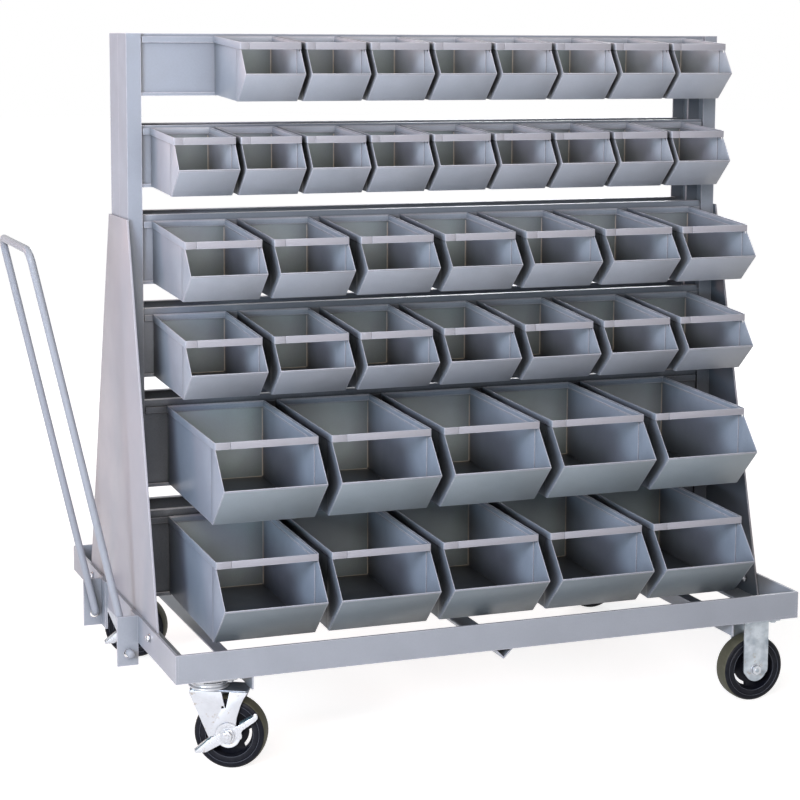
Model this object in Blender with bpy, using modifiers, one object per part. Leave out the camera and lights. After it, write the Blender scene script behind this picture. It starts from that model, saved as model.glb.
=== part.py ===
"""Mobile bin cart: an angle-iron base on four casters, a two-sided rail frame and steel hopper bins.

Metres, +Z up. The length runs along X with the tow handle at the -X end, and the bins hang on the -Y side.
"""

import math
from typing import NamedTuple

import bmesh
import bpy
from mathutils import Matrix, Vector

# Fits
GAP = 0.0003
OVERRUN = 0.004
WELD_OVERLAP = 0.0005
RUNNING_CLEARANCE = 0.0006
BOLT_CLEARANCE = 0.0003

# Base of welded angle iron
BASE_LENGTH = 1.3000
BASE_DEPTH = 0.8760
BASE_UNDERSIDE = 0.1810
ANGLE_LEG = 0.0540
ANGLE_THICKNESS = 0.0050

# Light angles welded across under the base
CROSS_LEG = 0.0260
CROSS_THICKNESS = 0.0030
CROSS_INSET = 0.1485
CROSS_END_INSET = 0.0040
CENTRE_ANGLE_LEG = 0.0290

# Uprights, each a pair of channels back to back
FRAME_TOP = 1.3531
UPRIGHT_DEPTH = 0.1375
UPRIGHT_WIDTH = 0.0290
CHANNEL_THICKNESS = 0.0025

# Tapered end plates between base and uprights
GUSSET_THICKNESS = 0.0040
GUSSET_TOP = 0.9965
GUSSET_TOP_HALF = 0.0760
GUSSET_FOOT_HALF = 0.2960
GUSSET_BOLT_PLACE = 0.2450
GUSSET_BOLT_HEIGHT = 0.2155

# Rails of folded sheet that the bins hang on
RAIL_FACE = 0.0611
RAIL_SHEET = 0.0020
RAIL_TOP_FOLD = 0.0140
RAIL_REST = 0.0055
RAIL_REST_HEIGHT = 0.0060
CLEAT_SHEET = 0.0016
CLEAT_POCKET = 0.0039
CLEAT_LIP = 0.0100
CLEAT_END_INSET = 0.0030

# Hopper bins of folded sheet
SMALL_DEPTH = 0.2137
MEDIUM_DEPTH = 0.2851
LARGE_DEPTH = 0.4004
BIN_BASE_CLEARANCE = 0.0033
BIN_SHEET = 0.0014
STRAP_HEIGHT = 0.0135
STRAP_THICKNESS = 0.0020
HOOK_DEPTH = 0.0080
HOOK_CLEARANCE = 0.0012
HOOK_END_INSET = 0.0100

# Tow handle and its brackets
ROD_RADIUS = 0.0075
HANDLE_LENGTH = 0.8080
HANDLE_LEAN = math.radians(12.8)
PIVOT_OUTSET = 0.0175
PIVOT_HEIGHT = 0.1625
HANDLE_CORNER = 0.0260
ROD_END_BEND = 0.0090
ROD_END_PROUD = 0.0160
ROD_SIDE_CLEARANCE = 0.0015
PIVOT_HOLE_CLEARANCE = 0.0020
PIVOT_HOLE_SHIFT = 0.0010
BRACKET_LEG = 0.0410
BRACKET_THICKNESS = 0.0045
BRACKET_FOOT = 0.1365

# Wheels
WHEEL_RADIUS = 0.0680
TYRE_WIDTH = 0.0400
TYRE_FACE_RADIUS = 0.0600
TYRE_SHOULDER = 0.0060
TYRE_CROWN = 0.0012
RIM_RADIUS = 0.0435
RIM_THICKNESS = 0.0040
RIM_WIDTH = 0.0360
WEB_THICKNESS = 0.0090
BOSS_RADIUS = 0.0150
AXLE_RADIUS = 0.0050
SLOT_COUNT = 5
SLOT_INNER = 0.0240
SLOT_HALF_ANGLE = math.radians(25.0)

# Caster forks and plates
CASTER_INSET_Y = 0.0667
SWIVEL_INSET_X = 0.0810
RIGID_INSET_X = 0.0710
SWIVEL_TRAIL = 0.0420
SWIVEL_TURN = math.radians(-29.0)
PLATE_LENGTH = 0.0800
PLATE_DEPTH = 0.1100
PLATE_THICKNESS = 0.0060
FORK_SHEET = 0.0040
FORK_INSIDE = 0.0480
CROWN_CLEARANCE = 0.0125
CROWN_SHEET = 0.0045
UPPER_RACE_RADIUS = 0.0400
LOWER_RACE_RADIUS = 0.0360
KINGPIN_RADIUS = 0.0060
KINGPIN_HEAD_RADIUS = 0.0095
KINGPIN_HEAD_HEIGHT = 0.0040
UPPER_RACE_HEIGHT = 0.0100
CHEEK_FRONT = 0.0330
CHEEK_REAR = 0.0790
CHEEK_HEEL = 0.0360
CHEEK_HEEL_DROP = 0.0100
CHEEK_WAIST = 0.0145
CHEEK_WAIST_RISE = 0.0180
CHEEK_BEND = 0.0176
CHEEK_BEND_RISE = 0.0393
CHEEK_SHOULDER = 0.0271
CHEEK_SHOULDER_RISE = 0.0683
CHEEK_ROUND = 0.0230
NOTCH_PLACE = 0.0370
NOTCH_HALF = 0.0080
NOTCH_DEPTH = 0.0340
RIGID_CHEEK_WIDTH = 0.0560
PAD_WIDTH = 0.0600
PAD_DEPTH = 0.0680

# Side brakes on the swivel casters
BRAKE_PLATE = 0.0030
BRAKE_HUB_RADIUS = 0.0237
BRAKE_CAP_RADIUS = 0.0130
BRAKE_CAP_HEIGHT = 0.0045
BRAKE_ARM = 0.0700
BRAKE_FLANGE = 0.0065

# The brake's arms in front view about the axle, and the lines that their flanges follow, as shares of an arm
LEFT_ARM_SHARES = ((-0.10, 0.06), (-0.33, -0.02), (-0.90, -0.45), (-0.59, -0.48), (-0.23, -0.25), (-0.07, -0.16))
RIGHT_ARM_SHARES = (
    (0.06, 0.20),
    (0.21, 0.29),
    (0.57, 0.48),
    (0.70, 0.64),
    (0.77, 0.61),
    (0.80, 0.51),
    (0.71, 0.41),
    (0.34, 0.12),
    (0.10, -0.05),
)
LEFT_FLANGE_SHARES = ((-0.870, -0.427), (-0.557, -0.194))
RIGHT_FLANGE_SHARES = ((0.379, 0.382), (0.560, 0.474))

# Hexagon bolts and nuts
BOLT_RADIUS = 0.0040
HEX_RADIUS = 0.0075
HEX_HEIGHT = 0.0055
BOLT_TIP = 0.0030
AXLE_HEX_RADIUS = 0.0100
AXLE_HEX_HEIGHT = 0.0065
BOLT_PLACE_X = 0.0280
BOLT_PLACE_Y = 0.0420

# Facets
WHEEL_FACETS = 28
ROUND_FACETS = 20
HOLE_FACETS = 10
BORE_FACETS = 12
ROD_FACETS = 12
ARC_STEPS = 6


class BinSize(NamedTuple):
    """One size of hopper bin, and its pitch on a rail. Reaches run forward from its back, heights up from its floor."""

    label: str
    pitch: float
    strap_width: float
    body_width: float
    back_height: float
    bar_height: float
    nose_height: float
    bar_reach: float
    foot_reach: float
    nose_reach: float
    rail_above: float
    rail_foot: float


class BinRow(NamedTuple):
    """One row of bins on its rail: how many, where the first is centred and the floor height."""

    number: int
    size: BinSize
    count: int
    first: float
    floor: float


# A bin's pitch, a share of the rack's length; its strap and body widths, shares of that pitch;
# its back, bar, nose, rail top and rail foot heights, shares of the rack's height;
# its bar and foot reaches, shares of its depth
BIN_SHARES = {
    "small": (0.10103, 0.93122, 0.88872, 0.10965, 0.09960, 0.04639, 0.00359, 0.00628, 0.85728, 0.74263),
    "medium": (0.13367, 0.87033, 0.84579, 0.11799, 0.10112, 0.04702, 0.00987, 0.00718, 0.86741, 0.80042),
    "large": (0.17512, 0.88943, 0.86937, 0.15020, 0.14015, 0.06891, 0.01077, 0.00628, 0.85889, 0.80644),
}

# Each row: its number, bin size and count, its first bin from the middle as a share of the rack's length,
# its floor as a share of the rack's height
ROW_SHARES = (
    (1, "small", 8, -0.31769, 0.88677),
    (2, "small", 9, -0.41810, 0.72885),
    (3, "medium", 7, -0.40514, 0.55891),
    (4, "medium", 7, -0.40537, 0.39498),
    (5, "large", 5, -0.36446, 0.19901),
    (6, "large", 5, -0.36399, 0.00000),
)

# Worked out from the sizes above
BASE_TOP = BASE_UNDERSIDE + ANGLE_LEG
END_FACE = BASE_LENGTH / 2
GUSSET_FACE = END_FACE - ANGLE_THICKNESS - GAP
UPRIGHT_FACE = GUSSET_FACE - GUSSET_THICKNESS - GAP
UPRIGHT_INNER = UPRIGHT_FACE - UPRIGHT_WIDTH
RACK_LENGTH = 2 * UPRIGHT_FACE
BIN_FLOOR = BASE_TOP + BIN_BASE_CLEARANCE
RACK_HEIGHT = FRAME_TOP - GAP - BIN_FLOOR
CROSS_PLACE = END_FACE - CROSS_INSET
SWIVEL_PLACE_X = END_FACE - SWIVEL_INSET_X
RIGID_PLACE_X = END_FACE - RIGID_INSET_X
CASTER_PLACE_Y = BASE_DEPTH / 2 - CASTER_INSET_Y
LEDGE_TOP = BASE_UNDERSIDE + ANGLE_THICKNESS
CLEAT_FACE = RAIL_FACE + CLEAT_POCKET + CLEAT_SHEET
BIN_BACK = CLEAT_FACE + GAP
PIVOT_X = -END_FACE - PIVOT_OUTSET
ROD_SIDE = UPRIGHT_DEPTH + ROD_SIDE_CLEARANCE
BRACKET_FACE = ROD_SIDE + ROD_RADIUS + ROD_SIDE_CLEARANCE
CROWN_UNDER = 2 * WHEEL_RADIUS + CROWN_CLEARANCE
CROWN_TOP = CROWN_UNDER + CROWN_SHEET
PLATE_TOP = BASE_UNDERSIDE - GAP
PLATE_UNDER = PLATE_TOP - PLATE_THICKNESS
RACE_SPLIT = PLATE_UNDER - UPPER_RACE_HEIGHT
FORK_OUTSIDE = FORK_INSIDE / 2 + FORK_SHEET


def bin_size(label, depth):
    """A bin size worked out in lengths from its shares."""
    pitch, strap, body, back, bar, nose, above, foot, bar_reach, foot_reach = BIN_SHARES[label]
    return BinSize(
        label=label,
        pitch=pitch * RACK_LENGTH,
        strap_width=strap * pitch * RACK_LENGTH,
        body_width=body * pitch * RACK_LENGTH,
        back_height=back * RACK_HEIGHT,
        bar_height=bar * RACK_HEIGHT,
        nose_height=nose * RACK_HEIGHT,
        bar_reach=bar_reach * depth,
        foot_reach=foot_reach * depth,
        nose_reach=depth,
        rail_above=above * RACK_HEIGHT,
        rail_foot=foot * RACK_HEIGHT,
    )


BIN_DEPTHS = {"small": SMALL_DEPTH, "medium": MEDIUM_DEPTH, "large": LARGE_DEPTH}
SIZES = {label: bin_size(label, depth) for label, depth in BIN_DEPTHS.items()}
ROWS = [
    BinRow(number, SIZES[label], count, first * RACK_LENGTH, BIN_FLOOR + floor * RACK_HEIGHT)
    for number, label, count, first, floor in ROW_SHARES
]

PAINT = (0.40, 0.44, 0.49, 1.0)
PAINT_LIGHT = (0.50, 0.53, 0.58, 1.0)
ZINC = (0.72, 0.74, 0.76, 1.0)
RUBBER = (0.03, 0.03, 0.035, 1.0)

# Side view to world: the outline's x runs forward (-Y), its y runs up, its thickness lies along X.
SIDE_VIEW = Matrix(((0, 0, -1), (-1, 0, 0), (0, 1, 0))).to_4x4()
# Front view to world: the outline's x runs along X, its y runs up, its thickness lies along Y.
FRONT_VIEW = Matrix(((1, 0, 0), (0, 0, -1), (0, 1, 0))).to_4x4()
# Turned about Y: a profile turned about Z is laid along Y.
LAID_ALONG_Y = Matrix.Rotation(math.radians(90), 4, "X")
LAID_ALONG_X = Matrix.Rotation(math.radians(90), 4, "Y")
ALONG_X = (1, 0, 0)
ALONG_Y = (0, 1, 0)


def clear_scene():
    """Removes what the file opened with, and makes one collection for the cart and one for cutters."""
    for old in list(bpy.data.objects):
        bpy.data.objects.remove(old, do_unlink=True)
    cart = bpy.data.collections.new("mobile_bin_cart")
    cutters = bpy.data.collections.new("cutters")
    bpy.context.scene.collection.children.link(cart)
    bpy.context.scene.collection.children.link(cutters)
    return cart, cutters


CART, CUTTERS = clear_scene()


def paint(name, colour, roughness, metallic):
    """A Principled material with the piece's colour, roughness and metallic value."""
    material = bpy.data.materials.new(name)
    material.use_nodes = True
    shader = material.node_tree.nodes["Principled BSDF"]
    shader.inputs["Base Color"].default_value = colour
    shader.inputs["Roughness"].default_value = roughness
    shader.inputs["Metallic"].default_value = metallic
    material.diffuse_color = colour
    return material


def evaluated(piece):
    """The piece's mesh with its modifiers applied, as a new mesh. The piece is removed."""
    bpy.context.view_layer.update()
    graph = bpy.context.evaluated_depsgraph_get()
    mesh = bpy.data.meshes.new_from_object(piece.evaluated_get(graph))
    bpy.data.objects.remove(piece, do_unlink=True)
    return mesh


def scratch_object(data):
    """An object in the cutters' collection, drawn as wire and left out of the model."""
    piece = bpy.data.objects.new("scratch", data)
    piece.hide_render = True
    piece.display_type = "WIRE"
    CUTTERS.objects.link(piece)
    return piece


def welded(mesh):
    """Joins a mesh's loose caps to its sides and turns every face outwards."""
    shape = bmesh.new()
    shape.from_mesh(mesh)
    bmesh.ops.remove_doubles(shape, verts=shape.verts, dist=GAP / 10)
    bmesh.ops.recalc_face_normals(shape, faces=shape.faces)
    shape.to_mesh(mesh)
    shape.free()
    return mesh


def moved(mesh, matrix):
    """The mesh with a matrix applied to its points."""
    mesh.transform(matrix)
    return mesh


def at(x, y, z):
    """A move to a place."""
    return Matrix.Translation(Vector((x, y, z)))


def box(low, high):
    """A box between two corners."""
    low, high = Vector(low), Vector(high)
    shape = bmesh.new()
    bmesh.ops.create_cube(shape, size=1.0)
    bmesh.ops.scale(shape, vec=high - low, verts=shape.verts)
    bmesh.ops.translate(shape, vec=(low + high) / 2, verts=shape.verts)
    mesh = bpy.data.meshes.new("box")
    shape.to_mesh(mesh)
    shape.free()
    return mesh


def plate(outline, thickness, view):
    """A flat outline of the given thickness, its middle plane through the origin."""
    curve = bpy.data.curves.new("outline", "CURVE")
    curve.dimensions = "2D"
    curve.fill_mode = "BOTH"
    curve.extrude = thickness / 2
    spline = curve.splines.new("POLY")
    spline.points.add(len(outline) - 1)
    for point, (across, up) in zip(spline.points, outline):
        point.co = (across, up, 0, 1)
    spline.use_cyclic_u = True
    return moved(welded(evaluated(scratch_object(curve))), view)


def rod(points, radius):
    """A round bar along a line of points, closed at both ends."""
    curve = bpy.data.curves.new("rod", "CURVE")
    curve.dimensions = "3D"
    curve.bevel_depth = radius
    curve.bevel_resolution = (ROD_FACETS - 4) // 2
    curve.use_fill_caps = True
    spline = curve.splines.new("POLY")
    spline.points.add(len(points) - 1)
    for point, place in zip(spline.points, points):
        point.co = (*place, 1)
    return welded(evaluated(scratch_object(curve)))


def turned(profile, facets):
    """A closed profile of (radius, height) points turned about Z."""
    mesh = bpy.data.meshes.new("profile")
    points = [(radius, 0, height) for radius, height in profile]
    edges = [(i, (i + 1) % len(points)) for i in range(len(points))]
    mesh.from_pydata(points, edges, [])
    piece = scratch_object(mesh)
    screw = piece.modifiers.new("turn", "SCREW")
    screw.axis = "Z"
    screw.steps = facets
    screw.render_steps = facets
    screw.use_merge_vertices = True
    screw.merge_threshold = GAP / 10
    return welded(evaluated(piece))


def cylinder(radius, low, high, facets):
    """A solid cylinder along Z between two heights."""
    shape = bmesh.new()
    bmesh.ops.create_cone(
        shape, cap_ends=True, segments=facets, radius1=radius, radius2=radius, depth=high - low
    )
    bmesh.ops.translate(shape, vec=(0, 0, (low + high) / 2), verts=shape.verts)
    mesh = bpy.data.meshes.new("cylinder")
    shape.to_mesh(mesh)
    shape.free()
    return mesh


def combined(mesh, others, operation):
    """The mesh with others joined to it or cut from it by exact Booleans."""
    piece = scratch_object(mesh)
    tools = [scratch_object(other) for other in others]
    for tool in tools:
        step = piece.modifiers.new("combine", "BOOLEAN")
        step.operation = operation
        step.solver = "EXACT"
        step.object = tool
    result = evaluated(piece)
    for tool in tools:
        bpy.data.objects.remove(tool, do_unlink=True)
    shape = bmesh.new()
    shape.from_mesh(result)
    bmesh.ops.remove_doubles(shape, verts=shape.verts, dist=GAP / 10)
    bmesh.ops.dissolve_limit(
        shape, angle_limit=math.radians(0.1), verts=shape.verts, edges=shape.edges
    )
    shape.to_mesh(result)
    shape.free()
    return result


def fused(mesh, *others):
    """The union of the meshes."""
    return combined(mesh, others, "UNION")


def cut(mesh, *cutters):
    """The mesh with the cutters taken out of it."""
    return combined(mesh, cutters, "DIFFERENCE")


def copied(mesh, matrix):
    """A copy of the mesh with a matrix applied."""
    return moved(mesh.copy(), matrix)


def mirrored(mesh, axis):
    """A copy of the mesh mirrored across the cart's middle, with its faces still outwards."""
    flip = Matrix.Scale(-1, 4, axis)
    result = copied(mesh, flip)
    result.flip_normals()
    return result


def empty(name, place, parent, turn=0.0):
    """An empty that carries pieces on a joint's axis."""
    holder = bpy.data.objects.new(name, None)
    holder.location = place
    holder.rotation_euler = (0, 0, turn)
    holder.parent = parent
    CART.objects.link(holder)
    return holder


def part(name, mesh, material, parent, place=(0, 0, 0)):
    """One named piece of the cart, with its own material."""
    piece = bpy.data.objects.new(name, mesh)
    piece.location = place
    piece.parent = parent
    mesh.name = name
    mesh.materials.clear()
    mesh.materials.append(paint(name, *material))
    mesh.shade_smooth()
    mesh.set_sharp_from_angle(angle=math.radians(40))
    CART.objects.link(piece)
    return piece


def arc(centre, radius, start, stop, steps):
    """Points along an arc, angles in radians."""
    return [
        (
            centre[0] + radius * math.cos(start + (stop - start) * i / steps),
            centre[1] + radius * math.sin(start + (stop - start) * i / steps),
        )
        for i in range(steps + 1)
    ]


PAINTED = (PAINT, 0.42, 0.0)
PAINTED_LIGHT = (PAINT_LIGHT, 0.42, 0.0)
PLATED = (ZINC, 0.32, 0.9)
RUBBERED = (RUBBER, 0.7, 0.0)


# Base


def angle_outline(leg, thickness):
    """An angle's section: one leg up the y axis, one along the x axis, corner at the origin."""
    return [(0, 0), (leg, 0), (leg, thickness), (thickness, thickness), (thickness, leg), (0, leg)]


def caster_bolt_holes(x, y, low, high):
    """Cutters for the four bolts of a caster's top plate."""
    return [
        moved(cylinder(BOLT_RADIUS + BOLT_CLEARANCE, low - OVERRUN, high + OVERRUN, HOLE_FACETS), at(px, py, 0))
        for px, py in bolt_places(x, y)
    ]


def bolt_places(x, y):
    """The four bolts of a caster's top plate."""
    return [(x + i * BOLT_PLACE_X, y + j * BOLT_PLACE_Y) for i in (-1, 1) for j in (-1, 1)]


def gusset_bolt_cutters(side):
    """Cutters through an end rail for the two bolts of its end plate."""
    radius = BOLT_RADIUS + BOLT_CLEARANCE
    bore = moved(cylinder(radius, UPRIGHT_FACE, END_FACE + OVERRUN, HOLE_FACETS), LAID_ALONG_X)
    turn = Matrix.Rotation(math.radians(180 if side < 0 else 0), 4, "Z")
    return [
        copied(bore, at(0, y, GUSSET_BOLT_HEIGHT) @ turn)
        for y in (-GUSSET_BOLT_PLACE, GUSSET_BOLT_PLACE)
    ]


def end_rail():
    """The left end of the base: an angle along Y, the full depth of the base."""
    outline = angle_outline(ANGLE_LEG, ANGLE_THICKNESS)
    return moved(plate(outline, BASE_DEPTH, FRONT_VIEW), at(-END_FACE, 0, BASE_UNDERSIDE))


def corner_pad():
    """A pad in the front left corner, level with the ledges, that backs a caster plate."""
    inner = END_FACE - ANGLE_LEG + WELD_OVERLAP
    front = BASE_DEPTH / 2 - ANGLE_LEG + WELD_OVERLAP
    return box((-inner, -front, BASE_UNDERSIDE), (PAD_WIDTH - inner, PAD_DEPTH - front, LEDGE_TOP))


def front_rail():
    """The front of the base: an angle along X between the end rails, set back by a hair from their ends."""
    outline = [(-across, up) for across, up in angle_outline(ANGLE_LEG, ANGLE_THICKNESS)]
    length = BASE_LENGTH - ANGLE_THICKNESS
    return moved(plate(outline, length, SIDE_VIEW), at(0, GAP - BASE_DEPTH / 2, BASE_UNDERSIDE))


def cross_angles():
    """The hanging angle near the left end and half of the V-shaped one under the middle."""
    length = BASE_DEPTH - 2 * CROSS_END_INSET
    top = BASE_UNDERSIDE + WELD_OVERLAP
    outline = [(-across, -up) for across, up in angle_outline(CROSS_LEG, CROSS_THICKNESS)]
    hanging = moved(plate(outline, length, FRONT_VIEW), at(-CROSS_PLACE, 0, top))
    corner = CENTRE_ANGLE_LEG / math.sqrt(2)
    vee = plate(angle_outline(CENTRE_ANGLE_LEG, CROSS_THICKNESS), length, FRONT_VIEW)
    vee = moved(vee, at(0, 0, top - corner) @ Matrix.Rotation(math.radians(-45), 4, "Y"))
    return hanging, vee


def bracket():
    """The rear handle bracket: an angle stood on the left rail, its outstanding leg drilled for the rod's end.

    The hole is larger than the rod, which bears on its upper inner side.
    """
    inner = WELD_OVERLAP - END_FACE
    outer = -END_FACE - BRACKET_LEG
    face = BRACKET_FACE
    top = BASE_TOP - GAP
    leg = box((outer, face, BRACKET_FOOT), (inner, face + BRACKET_THICKNESS, top))
    base = box(
        (-END_FACE - BRACKET_THICKNESS, face + BRACKET_THICKNESS - BRACKET_LEG, BRACKET_FOOT),
        (inner, face + BRACKET_THICKNESS / 2, top),
    )
    radius = ROD_RADIUS + PIVOT_HOLE_CLEARANCE
    bore = moved(
        cylinder(radius, -BRACKET_LEG, BRACKET_LEG, ROUND_FACETS),
        at(PIVOT_X - PIVOT_HOLE_SHIFT, face, PIVOT_HEIGHT - PIVOT_HOLE_SHIFT) @ LAID_ALONG_Y,
    )
    return cut(fused(leg, base), bore)


def base_frame():
    """The welded base: four rails, corner pads, cross angles and the two handle brackets."""
    left, pad, front = end_rail(), corner_pad(), front_rail()
    hanging, vee = cross_angles()
    rear_pad = mirrored(pad, ALONG_Y)
    rear_bracket = bracket()
    pieces = [front, mirrored(front, ALONG_Y), mirrored(left, ALONG_X), pad, rear_pad]
    pieces += [mirrored(pad, ALONG_X), mirrored(rear_pad, ALONG_X)]
    pieces += [hanging, mirrored(hanging, ALONG_X), vee]
    pieces += [rear_bracket, mirrored(rear_bracket, ALONG_Y)]
    frame = fused(left, *pieces)
    holes = gusset_bolt_cutters(-1) + gusset_bolt_cutters(1)
    for x in (-SWIVEL_PLACE_X, RIGID_PLACE_X):
        for y in (-CASTER_PLACE_Y, CASTER_PLACE_Y):
            holes += caster_bolt_holes(x, y, BASE_UNDERSIDE, LEDGE_TOP)
    return cut(frame, *holes)


# Frame


def channel():
    """The front left channel, its open side towards the middle of the cart."""
    depth = (UPRIGHT_DEPTH - GAP) / 2
    wall = CHANNEL_THICKNESS
    outline = [
        (0, 0),
        (UPRIGHT_WIDTH, 0),
        (UPRIGHT_WIDTH, wall),
        (wall, wall),
        (wall, depth - wall),
        (UPRIGHT_WIDTH, depth - wall),
        (UPRIGHT_WIDTH, depth),
        (0, depth),
    ]
    foot = LEDGE_TOP + GAP
    height = FRAME_TOP - foot
    blank = plate(outline, height, Matrix.Identity(4))
    return moved(blank, at(-UPRIGHT_FACE, -depth - GAP / 2, foot + height / 2))


def rail(row):
    """One rail: a folded sheet let into the channels, and the cleat strip that its bins hook on."""
    foot = row.floor + row.size.rail_foot
    back_top = row.floor + row.size.back_height
    top = back_top + row.size.rail_above
    face = RAIL_FACE
    back = RAIL_FACE - RAIL_SHEET
    rest = RAIL_FACE + RAIL_REST
    outline = [
        (face, foot + RAIL_REST_HEIGHT),
        (face, top),
        (face - RAIL_TOP_FOLD, top),
        (face - RAIL_TOP_FOLD, top - RAIL_SHEET),
        (back, top - RAIL_SHEET),
        (back, foot),
        (rest, foot),
        (rest, foot + RAIL_REST_HEIGHT),
    ]
    sheet = plate(outline, 2 * (UPRIGHT_INNER - GAP), SIDE_VIEW)
    end = UPRIGHT_FACE - CHANNEL_THICKNESS / 2
    inset = RAIL_TOP_FOLD / 2
    tongue = box((-end, WELD_OVERLAP - face, foot + inset), (end, -back - WELD_OVERLAP, top - inset))
    lip_top = back_top - BIN_SHEET - GAP
    ledge = lip_top - CLEAT_LIP
    cleat_outline = [
        (face - WELD_OVERLAP, ledge),
        (face - WELD_OVERLAP, ledge - CLEAT_SHEET),
        (CLEAT_FACE, ledge - CLEAT_SHEET),
        (CLEAT_FACE, lip_top),
        (CLEAT_FACE - CLEAT_SHEET, lip_top),
        (CLEAT_FACE - CLEAT_SHEET, ledge),
    ]
    cleat = plate(cleat_outline, 2 * (UPRIGHT_INNER - CLEAT_END_INSET), SIDE_VIEW)
    return [sheet, tongue, cleat]


def rack():
    """The front rack: two channels with six rails welded between them."""
    left = channel()
    pieces = [mirrored(left, ALONG_X)]
    for row in ROWS:
        pieces += rail(row)
    return fused(left, *pieces)


def gusset():
    """The left end plate, tapered upwards, with its two bolts."""
    foot = LEDGE_TOP + GAP
    outline = [
        (-GUSSET_FOOT_HALF, foot),
        (GUSSET_FOOT_HALF, foot),
        (GUSSET_TOP_HALF, GUSSET_TOP),
        (-GUSSET_TOP_HALF, GUSSET_TOP),
    ]
    blank = plate(outline, GUSSET_THICKNESS, SIDE_VIEW)
    blank = moved(blank, at(-GUSSET_FACE + GUSSET_THICKNESS / 2, 0, 0))
    head_face = GUSSET_FACE - GUSSET_THICKNESS + WELD_OVERLAP
    nut_face = END_FACE + GAP
    head = cylinder(HEX_RADIUS, head_face - HEX_HEIGHT, head_face, 6)
    nut = cylinder(HEX_RADIUS, nut_face, nut_face + HEX_HEIGHT, 6)
    shank = cylinder(BOLT_RADIUS, head_face - HEX_HEIGHT / 2, nut_face + HEX_HEIGHT + BOLT_TIP, HOLE_FACETS)
    bolt = moved(fused(shank, head, nut), Matrix.Rotation(math.radians(-90), 4, "Y"))
    return fused(
        blank,
        copied(bolt, at(0, -GUSSET_BOLT_PLACE, GUSSET_BOLT_HEIGHT)),
        copied(bolt, at(0, GUSSET_BOLT_PLACE, GUSSET_BOLT_HEIGHT)),
    )


def build_frame(root):
    """The welded base, two racks back to back and the end plates that tie them to it."""
    part("base_frame", base_frame(), PAINTED_LIGHT, root)
    front = rack()
    part("rack_front", front, PAINTED, root)
    part("rack_rear", mirrored(front, ALONG_Y), PAINTED, root)
    left = gusset()
    part("gusset_left", left, PAINTED_LIGHT, root)
    part("gusset_right", mirrored(left, ALONG_X), PAINTED_LIGHT, root)


# Bins


def rim_height(size, reach):
    """Height of the bin's rim, which falls from its back to its front bar."""
    return size.back_height + (size.bar_height - size.back_height) * reach / size.bar_reach


def hopper_inside(size, top):
    """The side view of a bin's inside, running out past the open front below the bar."""
    sheet = BIN_SHEET
    foot = Vector((size.foot_reach, 0))
    nose = Vector((size.nose_reach, size.nose_height))
    along = (nose - foot).normalized()
    inward = Vector((-along.y, along.x))
    corner = foot + inward * sheet + along * (sheet * (1 - inward.y) / along.y)
    leave = nose + inward * sheet + along * OVERRUN
    bar_inside = size.bar_reach - STRAP_THICKNESS
    under_bar = size.bar_height - STRAP_HEIGHT
    beyond = size.nose_reach + 2 * OVERRUN
    return [
        (sheet, sheet),
        tuple(corner),
        tuple(leave),
        (beyond, leave.y),
        (beyond, under_bar),
        (bar_inside, under_bar),
        (bar_inside, top),
        (sheet, top),
    ]


def hopper_bin(size):
    """A hopper bin: folded body, stepped rim strap that makes the front bar, and the hook on its back."""
    half_strap = STRAP_HEIGHT / 2
    under = STRAP_HEIGHT
    bar = size.bar_reach
    body = plate(
        [
            (0, 0),
            (size.foot_reach, 0),
            (size.nose_reach, size.nose_height),
            (bar - STRAP_THICKNESS, rim_height(size, bar) - half_strap),
            (0, size.back_height - half_strap),
        ],
        size.body_width,
        SIDE_VIEW,
    )
    strap = plate(
        [
            (0, size.back_height - under),
            (bar, size.bar_height - under),
            (bar, size.bar_height),
            (0, size.back_height),
        ],
        size.strap_width,
        SIDE_VIEW,
    )
    top = size.back_height + OVERRUN
    inside = plate(hopper_inside(size, top), size.body_width - 2 * BIN_SHEET, SIDE_VIEW)
    ledge = under - BIN_SHEET
    rim_inside = plate(
        [
            (BIN_SHEET, size.back_height - ledge),
            (bar - STRAP_THICKNESS, size.bar_height - ledge),
            (bar - STRAP_THICKNESS, top),
            (BIN_SHEET, top),
        ],
        size.strap_width - 2 * STRAP_THICKNESS,
        SIDE_VIEW,
    )
    hook_leg = -(CLEAT_SHEET + GAP + HOOK_CLEARANCE)
    hook = plate(
        [
            (BIN_SHEET / 2, size.back_height),
            (BIN_SHEET / 2, size.back_height - BIN_SHEET),
            (hook_leg, size.back_height - BIN_SHEET),
            (hook_leg, size.back_height - HOOK_DEPTH),
            (hook_leg - BIN_SHEET, size.back_height - HOOK_DEPTH),
            (hook_leg - BIN_SHEET, size.back_height),
        ],
        size.body_width - 2 * HOOK_END_INSET,
        SIDE_VIEW,
    )
    shell = cut(fused(body, strap), inside, rim_inside)
    return fused(shell, hook)


def build_bins(root):
    """The bins in their rows, each a piece of its own that lifts off its rail."""
    meshes = {label: hopper_bin(size) for label, size in SIZES.items()}
    for row in ROWS:
        for i in range(row.count):
            name = f"{row.size.label}_bin_{row.number}_{i + 1}"
            place = (row.first + row.size.pitch * i, -BIN_BACK, row.floor)
            part(name, meshes[row.size.label].copy(), PAINTED, root, place)


# Handle


def handle_path():
    """The rod's centre line, standing straight up from the pivot axis."""
    end = BRACKET_FACE + BRACKET_THICKNESS + ROD_END_PROUD
    side = ROD_SIDE
    bend = ROD_END_BEND
    corner = HANDLE_CORNER
    foot = arc((side + bend, bend), bend, -math.pi / 2, -math.pi, ARC_STEPS // 2)
    top = arc((side - corner, HANDLE_LENGTH - corner), corner, 0, math.pi / 2, ARC_STEPS)
    half = [(end, 0)] + foot + top
    points = [(0, y, z) for y, z in half]
    return points + [(0, -y, z) for y, z in reversed(half)]


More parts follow.
